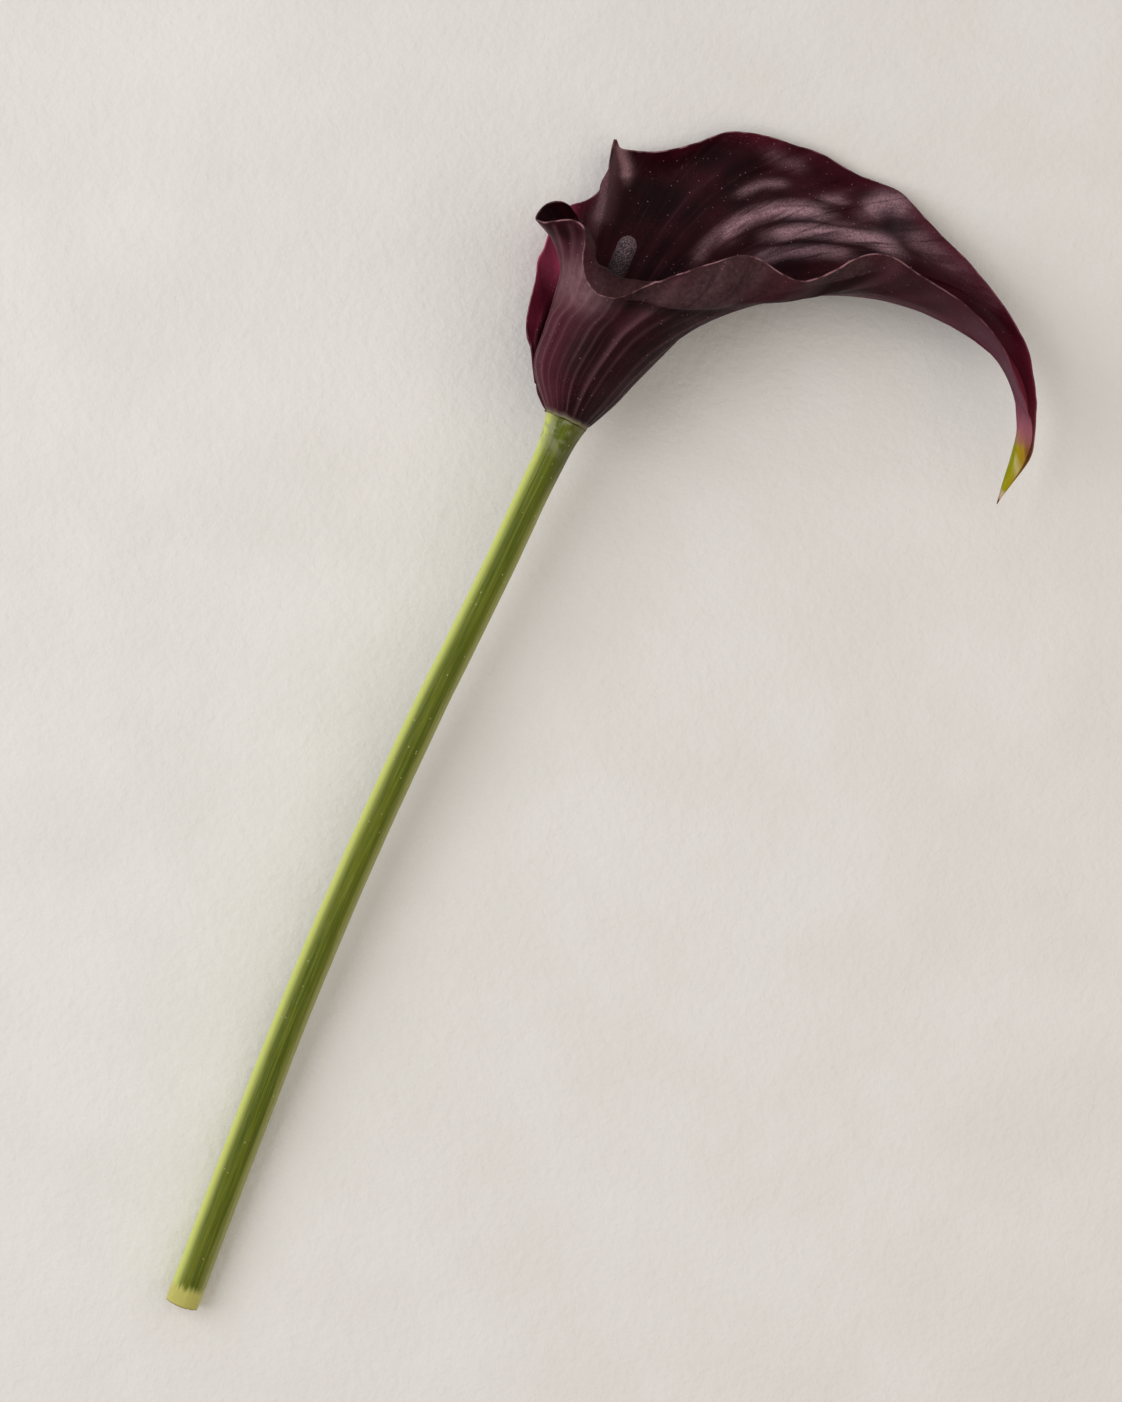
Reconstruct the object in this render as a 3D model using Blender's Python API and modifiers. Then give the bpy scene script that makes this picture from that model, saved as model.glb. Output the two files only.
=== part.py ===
"""Calla lily flower: a cut stem, a rolled spathe with a hooked horn, and a spadix, lying on a table.

Everything is in metres. The table is z = 0, the stem runs along about +Y, and the flower faces up.
The sheet of the spathe is a loft. Each vein is a curve from the collar up the tube and out to the margin.
They are numbered from the inner edge of the overlap (0), round the front, the keel (15) and the back,
to the outer edge.
"""
import math

import bpy
import numpy as np

MM = 0.001

# Spathe sheet
SHEET_THICKNESS = 0.9 * MM
MARGIN_THINNING = 0.6
TIP_THINNING = 0.35
STEPS_PER_VEIN = 3
STEPS_UP = 15
KEEL_VEIN = 15
TUBE_LEAN = math.radians(2.5)
RING_SHARES = (0.10, 0.22)
RING_HEIGHTS = (9.0, 19.0)
LAYER_GAP = 1.4
LAYER_STARTS = 95.0
LAYER_BLEND = 30.0
RIM_DETAIL_FROM = 0.55
THINNING_FROM = 0.7
TIP_HALF_WIDTH = 0.8
TIP_FROM = 0.75
TIP_FADE = 0.2

# Tube of the spathe: height above the collar, centre, radius (mm)
TUBE = (
    (0, (-41.9, 77.1, 18.5), 5.3),
    (4, (-42.8, 80.5, 18.8), 8.4),
    (9, (-43.2, 85.1, 19.1), 10.6),
    (19, (-41.9, 94.8, 19.8), 13.1),
)

# Veins: angle round the collar (degrees, 0 at the keel, 90 in front), share of the tube's two rings used,
# then the points from the mouth of the tube to the margin (mm)
VEINS = (
    # inner edge, and the ear that rolls out over the left shoulder
    (232, 1, ((-51.3, 108.8, 9.8), (-53.1, 116.5, 13.0), (-57.1, 122.7, 18.0))),
    (212, 1, ((-53.8, 105.6, 12.0), (-56.6, 115.9, 16.5), (-59.7, 121.6, 20.5), (-63.2, 125.0, 26.0))),
    (190, 1, ((-55.6, 103.0, 17.5), (-56.9, 110.7, 19.5), (-61.7, 116.1, 24.0), (-67.0, 118.0, 30.5))),
    (165, 1, ((-53.9, 102.7, 26.0), (-55.6, 111.3, 27.5), (-58.1, 116.4, 29.5), (-61.1, 119.9, 33.0))),
    # front lip, curled outward
    (142, 1, ((-50.6, 102.6, 30.9), (-51.0, 112.9, 34.0), (-51.2, 117.1, 35.5), (-53.8, 117.1, 37.5))),
    (118, 1, ((-45.8, 103.3, 34.6), (-44.7, 112.0, 37.5), (-45.9, 112.3, 39.8), (-47.5, 106.6, 40.5))),
    (96, 1, ((-41.0, 103.0, 35.2), (-39.6, 110.9, 38.0), (-39.6, 112.1, 40.3), (-39.3, 108.1, 40.5))),
    # front wall, standing up in two waves
    (76, 1, ((-35.5, 103.5, 34.6), (-31.3, 110.5, 36.5), (-29.8, 114.3, 37.5), (-28.8, 118.6, 40.0))),
    (58, 1, ((-29.9, 104.6, 32.4), (-22.0, 113.2, 34.0), (-17.4, 119.1, 35.5), (-16.3, 128.2, 39.0))),
    (42, 1, ((-24.5, 106.9, 29.3), (-13.1, 117.6, 29.5), (-4.0, 123.0, 30.0), (-0.7, 128.4, 34.5))),
    (28, 1, ((-21.2, 108.9, 26.0), (-7.9, 121.2, 27.0), (7.0, 129.9, 27.0), (12.3, 140.7, 33.0))),
    (16, 1, ((-19.6, 111.6, 24.0), (-2.5, 124.6, 23.5), (15.2, 133.0, 23.5), (29.8, 136.0, 24.0),
             (35.3, 138.8, 28.5))),
    # keel between the two walls, running out to the hooked tip
    (9, 1, ((-18.7, 114.0, 22.0), (-0.3, 126.3, 20.5), (19.3, 133.5, 20.0), (36.3, 134.1, 19.5),
            (46.3, 132.5, 20.5), (50.5, 131.9, 25.0))),
    (5, 1, ((-18.5, 114.4, 21.0), (0.3, 127.0, 19.0), (20.1, 133.7, 18.5), (37.3, 133.8, 18.0),
            (48.9, 131.1, 18.5), (56.2, 125.7, 19.8), (61.8, 120.4, 22.3))),
    (2, 1, ((-18.4, 114.8, 20.4), (0.5, 127.2, 18.2), (20.5, 133.7, 17.2), (37.7, 133.9, 16.6),
            (49.6, 130.7, 16.8), (57.2, 124.7, 18.0), (61.1, 116.8, 20.0), (62.8, 112.1, 21.6),
            (66.0, 110.3, 20.9))),
    (0, 1, ((-18.4, 114.9, 19.6), (0.8, 127.4, 17.0), (20.8, 134.0, 15.5), (38.0, 134.2, 14.5),
            (49.7, 131.0, 14.6), (57.1, 124.8, 15.6), (61.4, 117.1, 17.2), (62.6, 109.6, 18.6),
            (63.0, 102.8, 19.4), (63.5, 96.8, 20.0))),
    (-3, 1, ((-18.7, 115.8, 17.5), (0.4, 128.6, 14.8), (20.3, 135.7, 13.0), (37.4, 136.4, 12.0),
             (49.4, 133.2, 12.0), (57.5, 127.3, 13.0), (62.3, 120.4, 14.2), (64.4, 114.5, 16.0),
             (67.2, 110.9, 18.4))),
    (-8, 1, ((-18.9, 116.7, 15.5), (-0.1, 130.2, 12.3), (19.7, 137.9, 10.3), (36.5, 139.5, 9.3),
             (48.2, 136.7, 10.0), (56.5, 131.3, 12.3), (62.9, 125.2, 17.0))),
    # back wall of the horn, then of the funnel
    (-18, 1, ((-20.8, 117.7, 11.0), (-3.5, 132.9, 7.5), (15.8, 141.7, 6.0), (32.2, 144.2, 6.5),
              (43.0, 143.1, 9.5), (48.4, 142.8, 13.5))),
    (-32, 1, ((-25.1, 117.0, 7.0), (-11.6, 133.5, 3.8), (4.1, 144.9, 2.5), (17.7, 150.7, 4.0),
              (27.1, 154.5, 9.0))),
    (-50, 1, ((-31.5, 116.3, 4.6), (-22.8, 134.9, 1.5), (-10.8, 148.8, 0.7), (-0.5, 156.7, 0.7),
              (7.2, 161.6, 3.5))),
    (-70, 1, ((-37.2, 116.5, 3.2), (-32.5, 135.7, 1.0), (-24.8, 150.1, 1.0), (-17.3, 157.7, 2.6),
              (-13.3, 162.5, 4.5))),
    (-90, 1, ((-42.5, 116.3, 3.0), (-41.0, 134.1, 0.7), (-37.6, 148.4, 1.0), (-34.2, 154.3, 3.0),
              (-31.2, 159.4, 5.5))),
    (-106, 1, ((-47.1, 115.1, 3.8), (-47.7, 131.4, 1.1), (-47.1, 141.8, 1.5), (-45.9, 146.1, 3.2),
               (-44.9, 148.8, 5.0))),
    # pleat up to the pointed corner, then down to the outer edge of the overlap
    (-118, 1, ((-50.3, 112.9, 5.4), (-52.7, 127.0, 5.0), (-54.7, 136.5, 7.5), (-56.0, 141.5, 10.5),
               (-57.0, 145.9, 13.5))),
    (-126, 1, ((-52.4, 109.5, 6.8), (-54.3, 120.9, 5.4), (-55.3, 128.0, 5.6), (-56.0, 133.7, 7.0))),
    (-134, 1, ((-54.1, 104.6, 8.4), (-56.8, 114.4, 7.0), (-59.1, 121.4, 7.0), (-61.5, 126.7, 8.5))),
    (-141, 0.9, ((-55.7, 99.8, 10.0), (-59.2, 109.1, 9.2), (-63.2, 115.0, 11.0))),
    (-147, 0.62, ((-55.7, 91.4, 13.4), (-58.5, 97.6, 12.2), (-61.5, 100.3, 13.0))),
    (-152, 0.36, ((-52.4, 82.2, 15.6), (-55.3, 86.8, 16.0))),
)

# Points of the margin between the ends of the veins: vein number, then the point (mm)
RIM = (
    (0.35, (-58.9, 124.3, 20.5)), (0.7, (-61.2, 125.3, 23.5)), (1.35, (-65.6, 123.2, 28.0)),
    (1.7, (-67.0, 120.1, 29.8)), (2.3, (-64.7, 117.9, 31.5)), (2.65, (-62.8, 118.9, 32.5)),
    (3.35, (-58.4, 120.9, 34.0)), (3.7, (-55.5, 120.2, 35.5)), (4.35, (-52.5, 112.8, 39.0)),
    (4.7, (-50.0, 108.5, 40.0)), (5.5, (-44.1, 105.9, 41.0)), (5.75, (-41.5, 106.5, 40.8)),
    (6.5, (-34.6, 113.2, 40.0)), (7.5, (-22.6, 123.8, 39.5)), (8.3, (-12.3, 128.7, 37.5)),
    (8.65, (-5.7, 127.6, 35.5)), (9.35, (4.4, 132.6, 33.0)), (9.7, (8.5, 137.9, 33.0)),
    (10.25, (16.7, 141.8, 32.5)), (10.6, (24.3, 140.7, 30.5)), (11.5, (42.6, 136.4, 27.3)),
    (12.35, (54.8, 127.9, 24.3)), (12.7, (58.6, 124.0, 23.3)), (13.3, (63.9, 118.4, 21.6)),
    (13.65, (65.6, 114.6, 21.0)), (14.4, (65.7, 106.7, 20.7)), (14.7, (64.7, 101.9, 20.5)),
    (15.3, (65.2, 102.9, 19.5)), (15.6, (66.4, 106.9, 18.9)), (16.35, (66.6, 114.7, 17.8)),
    (16.65, (64.9, 119.9, 17.3)), (17.4, (57.1, 135.4, 15.5)), (17.7, (52.5, 139.8, 14.5)),
    (18.5, (36.8, 150.0, 11.0)), (19.3, (21.5, 157.3, 7.4)), (19.5, (17.2, 159.6, 6.0)),
    (19.75, (13.1, 161.4, 4.6)), (20.2, (2.8, 161.4, 3.4)), (20.4, (-0.7, 161.8, 3.5)),
    (20.55, (-3.7, 162.3, 3.6)), (20.7, (-7.1, 162.9, 3.8)), (20.85, (-10.3, 162.9, 4.1)),
    (21.5, (-22.3, 161.7, 5.5)), (22.5, (-37.4, 154.1, 5.0)), (23.5, (-51.8, 145.9, 5.5)),
    (23.8, (-55.2, 144.9, 9.0)), (24.35, (-55.8, 139.7, 10.5)), (24.7, (-56.0, 135.9, 8.0)),
    (25.5, (-58.0, 129.9, 7.4)), (26.5, (-63.4, 121.5, 9.5)), (27.35, (-63.4, 111.1, 12.0)),
    (27.7, (-62.1, 106.2, 12.4)), (28.35, (-60.2, 94.9, 13.6)), (28.55, (-59.0, 92.1, 14.2)),
    (28.8, (-57.1, 90.4, 15.2)),
)

# Stem: centre and radius from the cut end to the flare, then the plug inside the collar (mm)
STEM = (
    ((-48.7, -162.4, 4.05), 4.15), ((-49.5, -121.2, 5.8), 4.1), ((-49.9, -80.9, 8.0), 4.05),
    ((-49.1, -43.1, 10.2), 4.0), ((-47.2, -4.9, 12.6), 3.95), ((-45.5, 17.0, 14.2), 3.9),
    ((-43.9, 38.9, 15.8), 3.87), ((-43.0, 55.9, 17.0), 3.87), ((-42.3, 66.0, 17.7), 4.0),
    ((-42.1, 71.0, 18.1), 4.4), ((-42.0, 74.5, 18.3), 5.0), ((-41.9, 76.4, 18.4), 5.45),
)
STEM_PLUG = (((-41.9, 76.5, 18.4), 4.45), ((-42.0, 79.1, 18.6), 4.45))
STEM_STEPS = 3
STEM_SIDES = 24

# Spadix: centre line (mm), radius and the length of its rounded end
SPADIX = ((-42.0, 79.5, 18.65), (-43.7, 93.8, 19.4), (-44.4, 108.0, 20.2), (-44.1, 118.3, 20.8),
          (-44.0, 124.1, 21.0))
SPADIX_RADIUS = 2.45
SPADIX_FOOT_RADIUS = 2.0
SPADIX_DOME = 3.0
SPADIX_FOOT_SHARE = 0.3
SPADIX_BODY_RINGS = 18
SPADIX_DOME_RINGS = 8
SPADIX_DOME_TURN = math.radians(84)
SPADIX_SIDES = 16

# Each tissue's colour and roughness
MAROON = ((0.06, 0.010, 0.020), 0.42)
GREEN = ((0.30, 0.33, 0.04), 0.45)
DARK_PURPLE = ((0.035, 0.018, 0.03), 0.7)


def clear_scene():
    for obj in list(bpy.data.objects):
        bpy.data.objects.remove(obj)


def through(knots, points, at):
    """A smooth curve through the points, one value of the parameter each, read at the values asked for."""
    knots = np.asarray(knots, float)
    points = np.asarray(points, float)
    at = np.asarray(at, float)
    gaps = knots[1:] - knots[:-1]
    slopes = (points[1:] - points[:-1]) / gaps[:, None]
    before = gaps[:-1, None]
    after = gaps[1:, None]
    middle = (slopes[:-1] * after + slopes[1:] * before) / (before + after)
    tangents = np.vstack([slopes[:1], middle, slopes[-1:]])
    i = np.clip(np.searchsorted(knots, at, side="right") - 1, 0, len(gaps) - 1)
    width = gaps[i][:, None]
    s = ((at - knots[i]) / gaps[i])[:, None]
    start = (1 + 2 * s) * (1 - s) ** 2 * points[i] + s * (1 - s) ** 2 * width * tangents[i]
    end = s * s * (3 - 2 * s) * points[i + 1] + s * s * (s - 1) * width * tangents[i + 1]
    return start + end


def smoothstep(value):
    value = np.clip(value, 0.0, 1.0)
    return value * value * (3 - 2 * value)


def tube_point(angle, height):
    """A point on the round tube above the collar; the outer layer of the overlap stands further out."""
    heights = [row[0] for row in TUBE]
    centre = np.array([np.interp(height, heights, [row[1][axis] for row in TUBE]) for axis in range(3)])
    radius = np.interp(height, heights, [row[2] for row in TUBE])
    radius += LAYER_GAP * min(1.0, max(0.0, (-angle - LAYER_STARTS) / LAYER_BLEND))
    turn = math.radians(angle)
    across = np.array([math.cos(TUBE_LEAN), -math.sin(TUBE_LEAN), 0.0])
    up = np.array([0.0, 0.0, 1.0])
    return centre + radius * (math.cos(turn) * across + math.sin(turn) * up)


def vein_curve(vein, rows):
    """One vein, read at the heights asked for as shares of its length."""
    angle, share, points = vein
    rings = [tube_point(angle, 0.0)] + [tube_point(angle, height * share) for height in RING_HEIGHTS]
    points = np.array(rings + [np.array(point) for point in points])
    steps = np.linalg.norm(points[1:] - points[:-1], axis=1)
    beyond = np.cumsum(steps[2:]) / steps[2:].sum()
    knots = [0.0, *RING_SHARES, *(RING_SHARES[1] + (1 - RING_SHARES[1]) * beyond)]
    return through(knots, points, rows), points[-1]


def spathe_points(columns, rows):
    """The sheet as a grid of points, columns by rows."""
    curves = [vein_curve(vein, rows) for vein in VEINS]
    lofted = np.stack([points for points, _ in curves])
    numbers = np.arange(len(VEINS), dtype=float)
    sheet = np.stack([through(numbers, lofted[:, k], columns) for k in range(len(rows))], axis=1)
    margin = sorted([(float(n), curves[n][1]) for n in range(len(VEINS))]
                    + [(number, np.array(point)) for number, point in RIM], key=lambda entry: entry[0])
    wanted = through([number for number, _ in margin], [point for _, point in margin], columns)
    pull = smoothstep((rows - RIM_DETAIL_FROM) / (1 - RIM_DETAIL_FROM))
    return sheet + (wanted - sheet[:, -1])[:, None, :] * pull[None, :, None]


def sheet_weight(column, row):
    """Share of the full thickness: thinner at the margin, thinnest at the tip."""
    weight = 1 - (1 - MARGIN_THINNING) * smoothstep((row - THINNING_FROM) / (1 - THINNING_FROM))
    across_tip = math.exp(-(((column - KEEL_VEIN) / TIP_HALF_WIDTH) ** 2))
    near_tip = across_tip * smoothstep((row - TIP_FROM) / TIP_FADE)
    return float(weight + (TIP_THINNING - weight) * near_tip)


def make_material(name, colour, roughness):
    material = bpy.data.materials.new(name)
    material.use_nodes = True
    shader = material.node_tree.nodes["Principled BSDF"]
    shader.inputs["Base Color"].default_value = (*colour, 1.0)
    shader.inputs["Roughness"].default_value = roughness
    return material


def add_object(name, data, material, collection):
    obj = bpy.data.objects.new(name, data)
    data.materials.append(material)
    collection.objects.link(obj)
    return obj


def make_spathe(collection):
    columns = np.linspace(0, len(VEINS) - 1, (len(VEINS) - 1) * STEPS_PER_VEIN + 1)
    rows = np.linspace(0, 1, STEPS_UP + 1)
    grid = spathe_points(columns, rows) * MM
    wide, high = len(columns), len(rows)
    faces = [(i * high + k, i * high + k + 1, (i + 1) * high + k + 1, (i + 1) * high + k)
             for i in range(wide - 1) for k in range(high - 1)]
    mesh = bpy.data.meshes.new("spathe")
    mesh.from_pydata(grid.reshape(-1, 3).tolist(), [], faces)
    mesh.shade_smooth()
    obj = add_object("spathe", mesh, make_material("maroon_tissue", *MAROON), collection)
    thickness = obj.vertex_groups.new(name="thickness")
    for i, column in enumerate(columns):
        for k, row in enumerate(rows):
            thickness.add([i * high + k], sheet_weight(column, row), "REPLACE")
    solidify = obj.modifiers.new("sheet", "SOLIDIFY")
    solidify.thickness = SHEET_THICKNESS
    solidify.offset = 0.0
    solidify.vertex_group = thickness.name
    return obj


def make_rod(name, centres, radii, sides, material, collection):
    """A closed rod along a line, with a radius at each point."""
    curve = bpy.data.curves.new(name, "CURVE")
    curve.dimensions = "3D"
    curve.fill_mode = "FULL"
    curve.use_fill_caps = True
    curve.bevel_depth = MM
    curve.bevel_resolution = sides // 4 - 1
    line = curve.splines.new("POLY")
    line.points.add(len(centres) - 1)
    for point, centre, radius in zip(line.points, centres, radii):
        point.co = (*(np.array(centre) * MM), 1.0)
        point.radius = radius
    return add_object(name, curve, material, collection)


def make_stem(collection):
    centres = [centre for centre, _ in STEM]
    radii = [[radius] for _, radius in STEM]
    numbers = np.arange(len(STEM), dtype=float)
    at = np.linspace(0, len(STEM) - 1, (len(STEM) - 1) * STEM_STEPS + 1)
    path = list(through(numbers, centres, at)) + [centre for centre, _ in STEM_PLUG]
    widths = list(through(numbers, radii, at)[:, 0]) + [radius for _, radius in STEM_PLUG]
    return make_rod("stem", path, widths, STEM_SIDES, make_material("green_tissue", *GREEN), collection)


def make_spadix(collection):
    points = np.array(SPADIX)
    lengths = np.concatenate([[0.0], np.cumsum(np.linalg.norm(points[1:] - points[:-1], axis=1))])
    whole = lengths[-1]
    body = np.linspace(0, whole - SPADIX_DOME, SPADIX_BODY_RINGS)
    turn = np.linspace(0, SPADIX_DOME_TURN, SPADIX_DOME_RINGS + 1)[1:]
    at = np.concatenate([body, whole - SPADIX_DOME + SPADIX_DOME * np.sin(turn)])
    widening = smoothstep(body / (SPADIX_FOOT_SHARE * whole))
    foot = SPADIX_FOOT_RADIUS + (SPADIX_RADIUS - SPADIX_FOOT_RADIUS) * widening
    radii = np.concatenate([foot, SPADIX_RADIUS * np.cos(turn)])
    return make_rod("spadix", through(lengths, points, at), radii, SPADIX_SIDES,
                    make_material("dark_spadix", *DARK_PURPLE), collection)


def main():
    clear_scene()
    collection = bpy.data.collections.new("Calla_lily_flower")
    bpy.context.scene.collection.children.link(collection)
    make_stem(collection)
    make_spadix(collection)
    make_spathe(collection)


main()
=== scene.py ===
"""Calla lily flower lying on pale paper, seen from straight above.

Fine spathe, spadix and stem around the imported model. Lengths are in millimetres unless a name or comment
says otherwise, and turn into metres only where a mesh, camera or lamp is made.
"""

import math

import bpy
import numpy as np
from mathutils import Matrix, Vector, noise


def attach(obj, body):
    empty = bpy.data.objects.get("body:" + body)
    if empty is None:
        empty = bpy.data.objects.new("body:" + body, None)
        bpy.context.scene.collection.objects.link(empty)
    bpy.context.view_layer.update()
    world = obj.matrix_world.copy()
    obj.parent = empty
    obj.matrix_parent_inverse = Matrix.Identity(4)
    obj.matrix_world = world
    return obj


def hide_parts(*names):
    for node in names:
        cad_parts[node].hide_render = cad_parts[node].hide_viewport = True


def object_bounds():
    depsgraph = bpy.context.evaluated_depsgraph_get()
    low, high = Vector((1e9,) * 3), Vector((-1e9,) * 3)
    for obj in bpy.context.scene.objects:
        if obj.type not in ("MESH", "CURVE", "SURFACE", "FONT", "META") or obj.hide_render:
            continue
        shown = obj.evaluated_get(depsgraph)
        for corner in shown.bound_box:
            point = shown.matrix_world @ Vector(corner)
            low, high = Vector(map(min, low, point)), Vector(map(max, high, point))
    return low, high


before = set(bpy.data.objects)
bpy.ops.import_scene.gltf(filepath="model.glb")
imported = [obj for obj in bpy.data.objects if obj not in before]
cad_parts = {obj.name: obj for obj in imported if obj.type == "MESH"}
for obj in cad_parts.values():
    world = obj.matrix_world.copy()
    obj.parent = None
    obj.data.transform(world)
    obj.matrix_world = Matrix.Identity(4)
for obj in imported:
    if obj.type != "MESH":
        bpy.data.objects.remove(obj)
CAD_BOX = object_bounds()
MM = 0.001
BOX_MARGIN = 0.02 * MM

# -------------------- view and light
VIEW_CENTRE = (-17.35, 12.2)
VIEW_HEIGHT = 1000.0
VIEW_ROLL = math.radians(22.0)
VIEW_FIELD = 350.5
SENSOR_WIDTH = 36.0
# name, bearing and elevation in degrees, size in metres, power in watts, colour
LAMPS = (
    ("window", 166.0, 45.0, 1.10, 8.7, (0.985, 1.0, 1.02)),
    ("card", -15.0, 60.0, 1.3, 4.2, (1.0, 0.90, 0.78)),
)
LAMP_DISTANCE_M = 1.25
FILL_COLOUR = (1.0, 0.985, 0.965, 1.0)
FILL_STRENGTH = 0.36
FLOOR_SIZE_M = 4.0
FLOOR_DROP_M = 0.00005

# -------------------- the sheet's own lines, as in the CAD part
KEEL_VEIN = 15
TUBE_LEAN = math.radians(2.5)
RING_SHARES = (0.10, 0.22)
RING_HEIGHTS = (9.0, 19.0)
LAYER_GAP = 1.4
LAYER_STARTS = 95.0
LAYER_BLEND = 30.0
RIM_DETAIL_FROM = 0.55
TUBE = (
    (0, (-41.9, 77.1, 18.5), 5.3),
    (4, (-42.8, 80.5, 18.8), 8.4),
    (9, (-43.2, 85.1, 19.1), 10.6),
    (19, (-41.9, 94.8, 19.8), 13.1),
)

VEINS = (
    # inner edge, and the ear that rolls out over the left shoulder
    (232, 1, ((-51.3, 108.8, 9.8), (-53.1, 116.5, 13.0), (-57.1, 122.7, 18.0))),
    (212, 1, ((-53.8, 105.6, 12.0), (-56.6, 115.9, 16.5), (-59.7, 121.6, 20.5), (-63.2, 125.0, 26.0))),
    (190, 1, ((-55.6, 103.0, 17.5), (-56.9, 110.7, 19.5), (-61.7, 116.1, 24.0), (-67.0, 118.0, 30.5))),
    (165, 1, ((-53.9, 102.7, 26.0), (-55.6, 111.3, 27.5), (-58.1, 116.4, 29.5), (-61.1, 119.9, 33.0))),
    # front lip, curled outward
    (142, 1, ((-50.6, 102.6, 30.9), (-51.0, 112.9, 34.0), (-51.2, 117.1, 35.5), (-53.8, 117.1, 37.5))),
    (118, 1, ((-45.8, 103.3, 34.6), (-44.7, 112.0, 37.5), (-45.9, 112.3, 39.8), (-47.5, 106.6, 40.5))),
    (96, 1, ((-41.0, 103.0, 35.2), (-39.6, 110.9, 38.0), (-39.6, 112.1, 40.3), (-39.3, 108.1, 40.5))),
    # front wall, standing up in two waves
    (76, 1, ((-35.5, 103.5, 34.6), (-31.3, 110.5, 36.5), (-29.8, 114.3, 37.5), (-28.8, 118.6, 40.0))),
    (58, 1, ((-29.9, 104.6, 32.4), (-22.0, 113.2, 34.0), (-17.4, 119.1, 35.5), (-16.3, 128.2, 39.0))),
    (42, 1, ((-24.5, 106.9, 29.3), (-13.1, 117.6, 29.5), (-4.0, 123.0, 30.0), (-0.7, 128.4, 34.5))),
    (28, 1, ((-21.2, 108.9, 26.0), (-7.9, 121.2, 27.0), (7.0, 129.9, 27.0), (12.3, 140.7, 33.0))),
    (16, 1, ((-19.6, 111.6, 24.0), (-2.5, 124.6, 23.5), (15.2, 133.0, 23.5), (29.8, 136.0, 24.0),
             (35.3, 138.8, 28.5))),
    # keel between the two walls, running out to the hooked tip
    (9, 1, ((-18.7, 114.0, 22.0), (-0.3, 126.3, 20.5), (19.3, 133.5, 20.0), (36.3, 134.1, 19.5),
            (46.3, 132.5, 20.5), (50.5, 131.9, 25.0))),
    (5, 1, ((-18.5, 114.4, 21.0), (0.3, 127.0, 19.0), (20.1, 133.7, 18.5), (37.3, 133.8, 18.0),
            (48.9, 131.1, 18.5), (56.2, 125.7, 19.8), (61.8, 120.4, 22.3))),
    (2, 1, ((-18.4, 114.8, 20.4), (0.5, 127.2, 18.2), (20.5, 133.7, 17.2), (37.7, 133.9, 16.6),
            (49.6, 130.7, 16.8), (57.2, 124.7, 18.0), (61.1, 116.8, 20.0), (62.8, 112.1, 21.6),
            (66.0, 110.3, 20.9))),
    (0, 1, ((-18.4, 114.9, 19.6), (0.8, 127.4, 17.0), (20.8, 134.0, 15.5), (38.0, 134.2, 14.5),
            (49.7, 131.0, 14.6), (57.1, 124.8, 15.6), (61.4, 117.1, 17.2), (62.6, 109.6, 18.6),
            (63.0, 102.8, 19.4), (63.5, 96.8, 20.0))),
    (-3, 1, ((-18.7, 115.8, 17.5), (0.4, 128.6, 14.8), (20.3, 135.7, 13.0), (37.4, 136.4, 12.0),
             (49.4, 133.2, 12.0), (57.5, 127.3, 13.0), (62.3, 120.4, 14.2), (64.4, 114.5, 16.0),
             (67.2, 110.9, 18.4))),
    (-8, 1, ((-18.9, 116.7, 15.5), (-0.1, 130.2, 12.3), (19.7, 137.9, 10.3), (36.5, 139.5, 9.3),
             (48.2, 136.7, 10.0), (56.5, 131.3, 12.3), (62.9, 125.2, 17.0))),
    # back wall of the horn, then of the funnel
    (-18, 1, ((-20.8, 117.7, 11.0), (-3.5, 132.9, 7.5), (15.8, 141.7, 6.0), (32.2, 144.2, 6.5),
              (43.0, 143.1, 9.5), (48.4, 142.8, 13.5))),
    (-32, 1, ((-25.1, 117.0, 7.0), (-11.6, 133.5, 3.8), (4.1, 144.9, 2.5), (17.7, 150.7, 4.0),
              (27.1, 154.5, 9.0))),
    (-50, 1, ((-31.5, 116.3, 4.6), (-22.8, 134.9, 1.5), (-10.8, 148.8, 0.7), (-0.5, 156.7, 0.7),
              (7.2, 161.6, 3.5))),
    (-70, 1, ((-37.2, 116.5, 3.2), (-32.5, 135.7, 1.0), (-24.8, 150.1, 1.0), (-17.3, 157.7, 2.6),
              (-13.3, 162.5, 4.5))),
    (-90, 1, ((-42.5, 116.3, 3.0), (-41.0, 134.1, 0.7), (-37.6, 148.4, 1.0), (-34.2, 154.3, 3.0),
              (-31.2, 159.4, 5.5))),
    (-106, 1, ((-47.1, 115.1, 3.8), (-47.7, 131.4, 1.1), (-47.1, 141.8, 1.5), (-45.9, 146.1, 3.2),
               (-44.9, 148.8, 5.0))),
    # pleat up to the pointed corner, then down to the outer edge of the overlap
    (-118, 1, ((-50.3, 112.9, 5.4), (-52.7, 127.0, 5.0), (-54.7, 136.5, 7.5), (-56.0, 141.5, 10.5),
               (-57.0, 145.9, 13.5))),
    (-126, 1, ((-52.4, 109.5, 6.8), (-54.3, 120.9, 5.4), (-55.3, 128.0, 5.6), (-56.0, 133.7, 7.0))),
    (-134, 1, ((-54.1, 104.6, 8.4), (-56.8, 114.4, 7.0), (-59.1, 121.4, 7.0), (-61.5, 126.7, 8.5))),
    (-141, 0.9, ((-55.7, 99.8, 10.0), (-59.2, 109.1, 9.2), (-63.2, 115.0, 11.0))),
    (-147, 0.62, ((-55.7, 91.4, 13.4), (-58.5, 97.6, 12.2), (-61.5, 100.3, 13.0))),
    (-152, 0.36, ((-52.4, 82.2, 15.6), (-55.3, 86.8, 16.0))),
)

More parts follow.
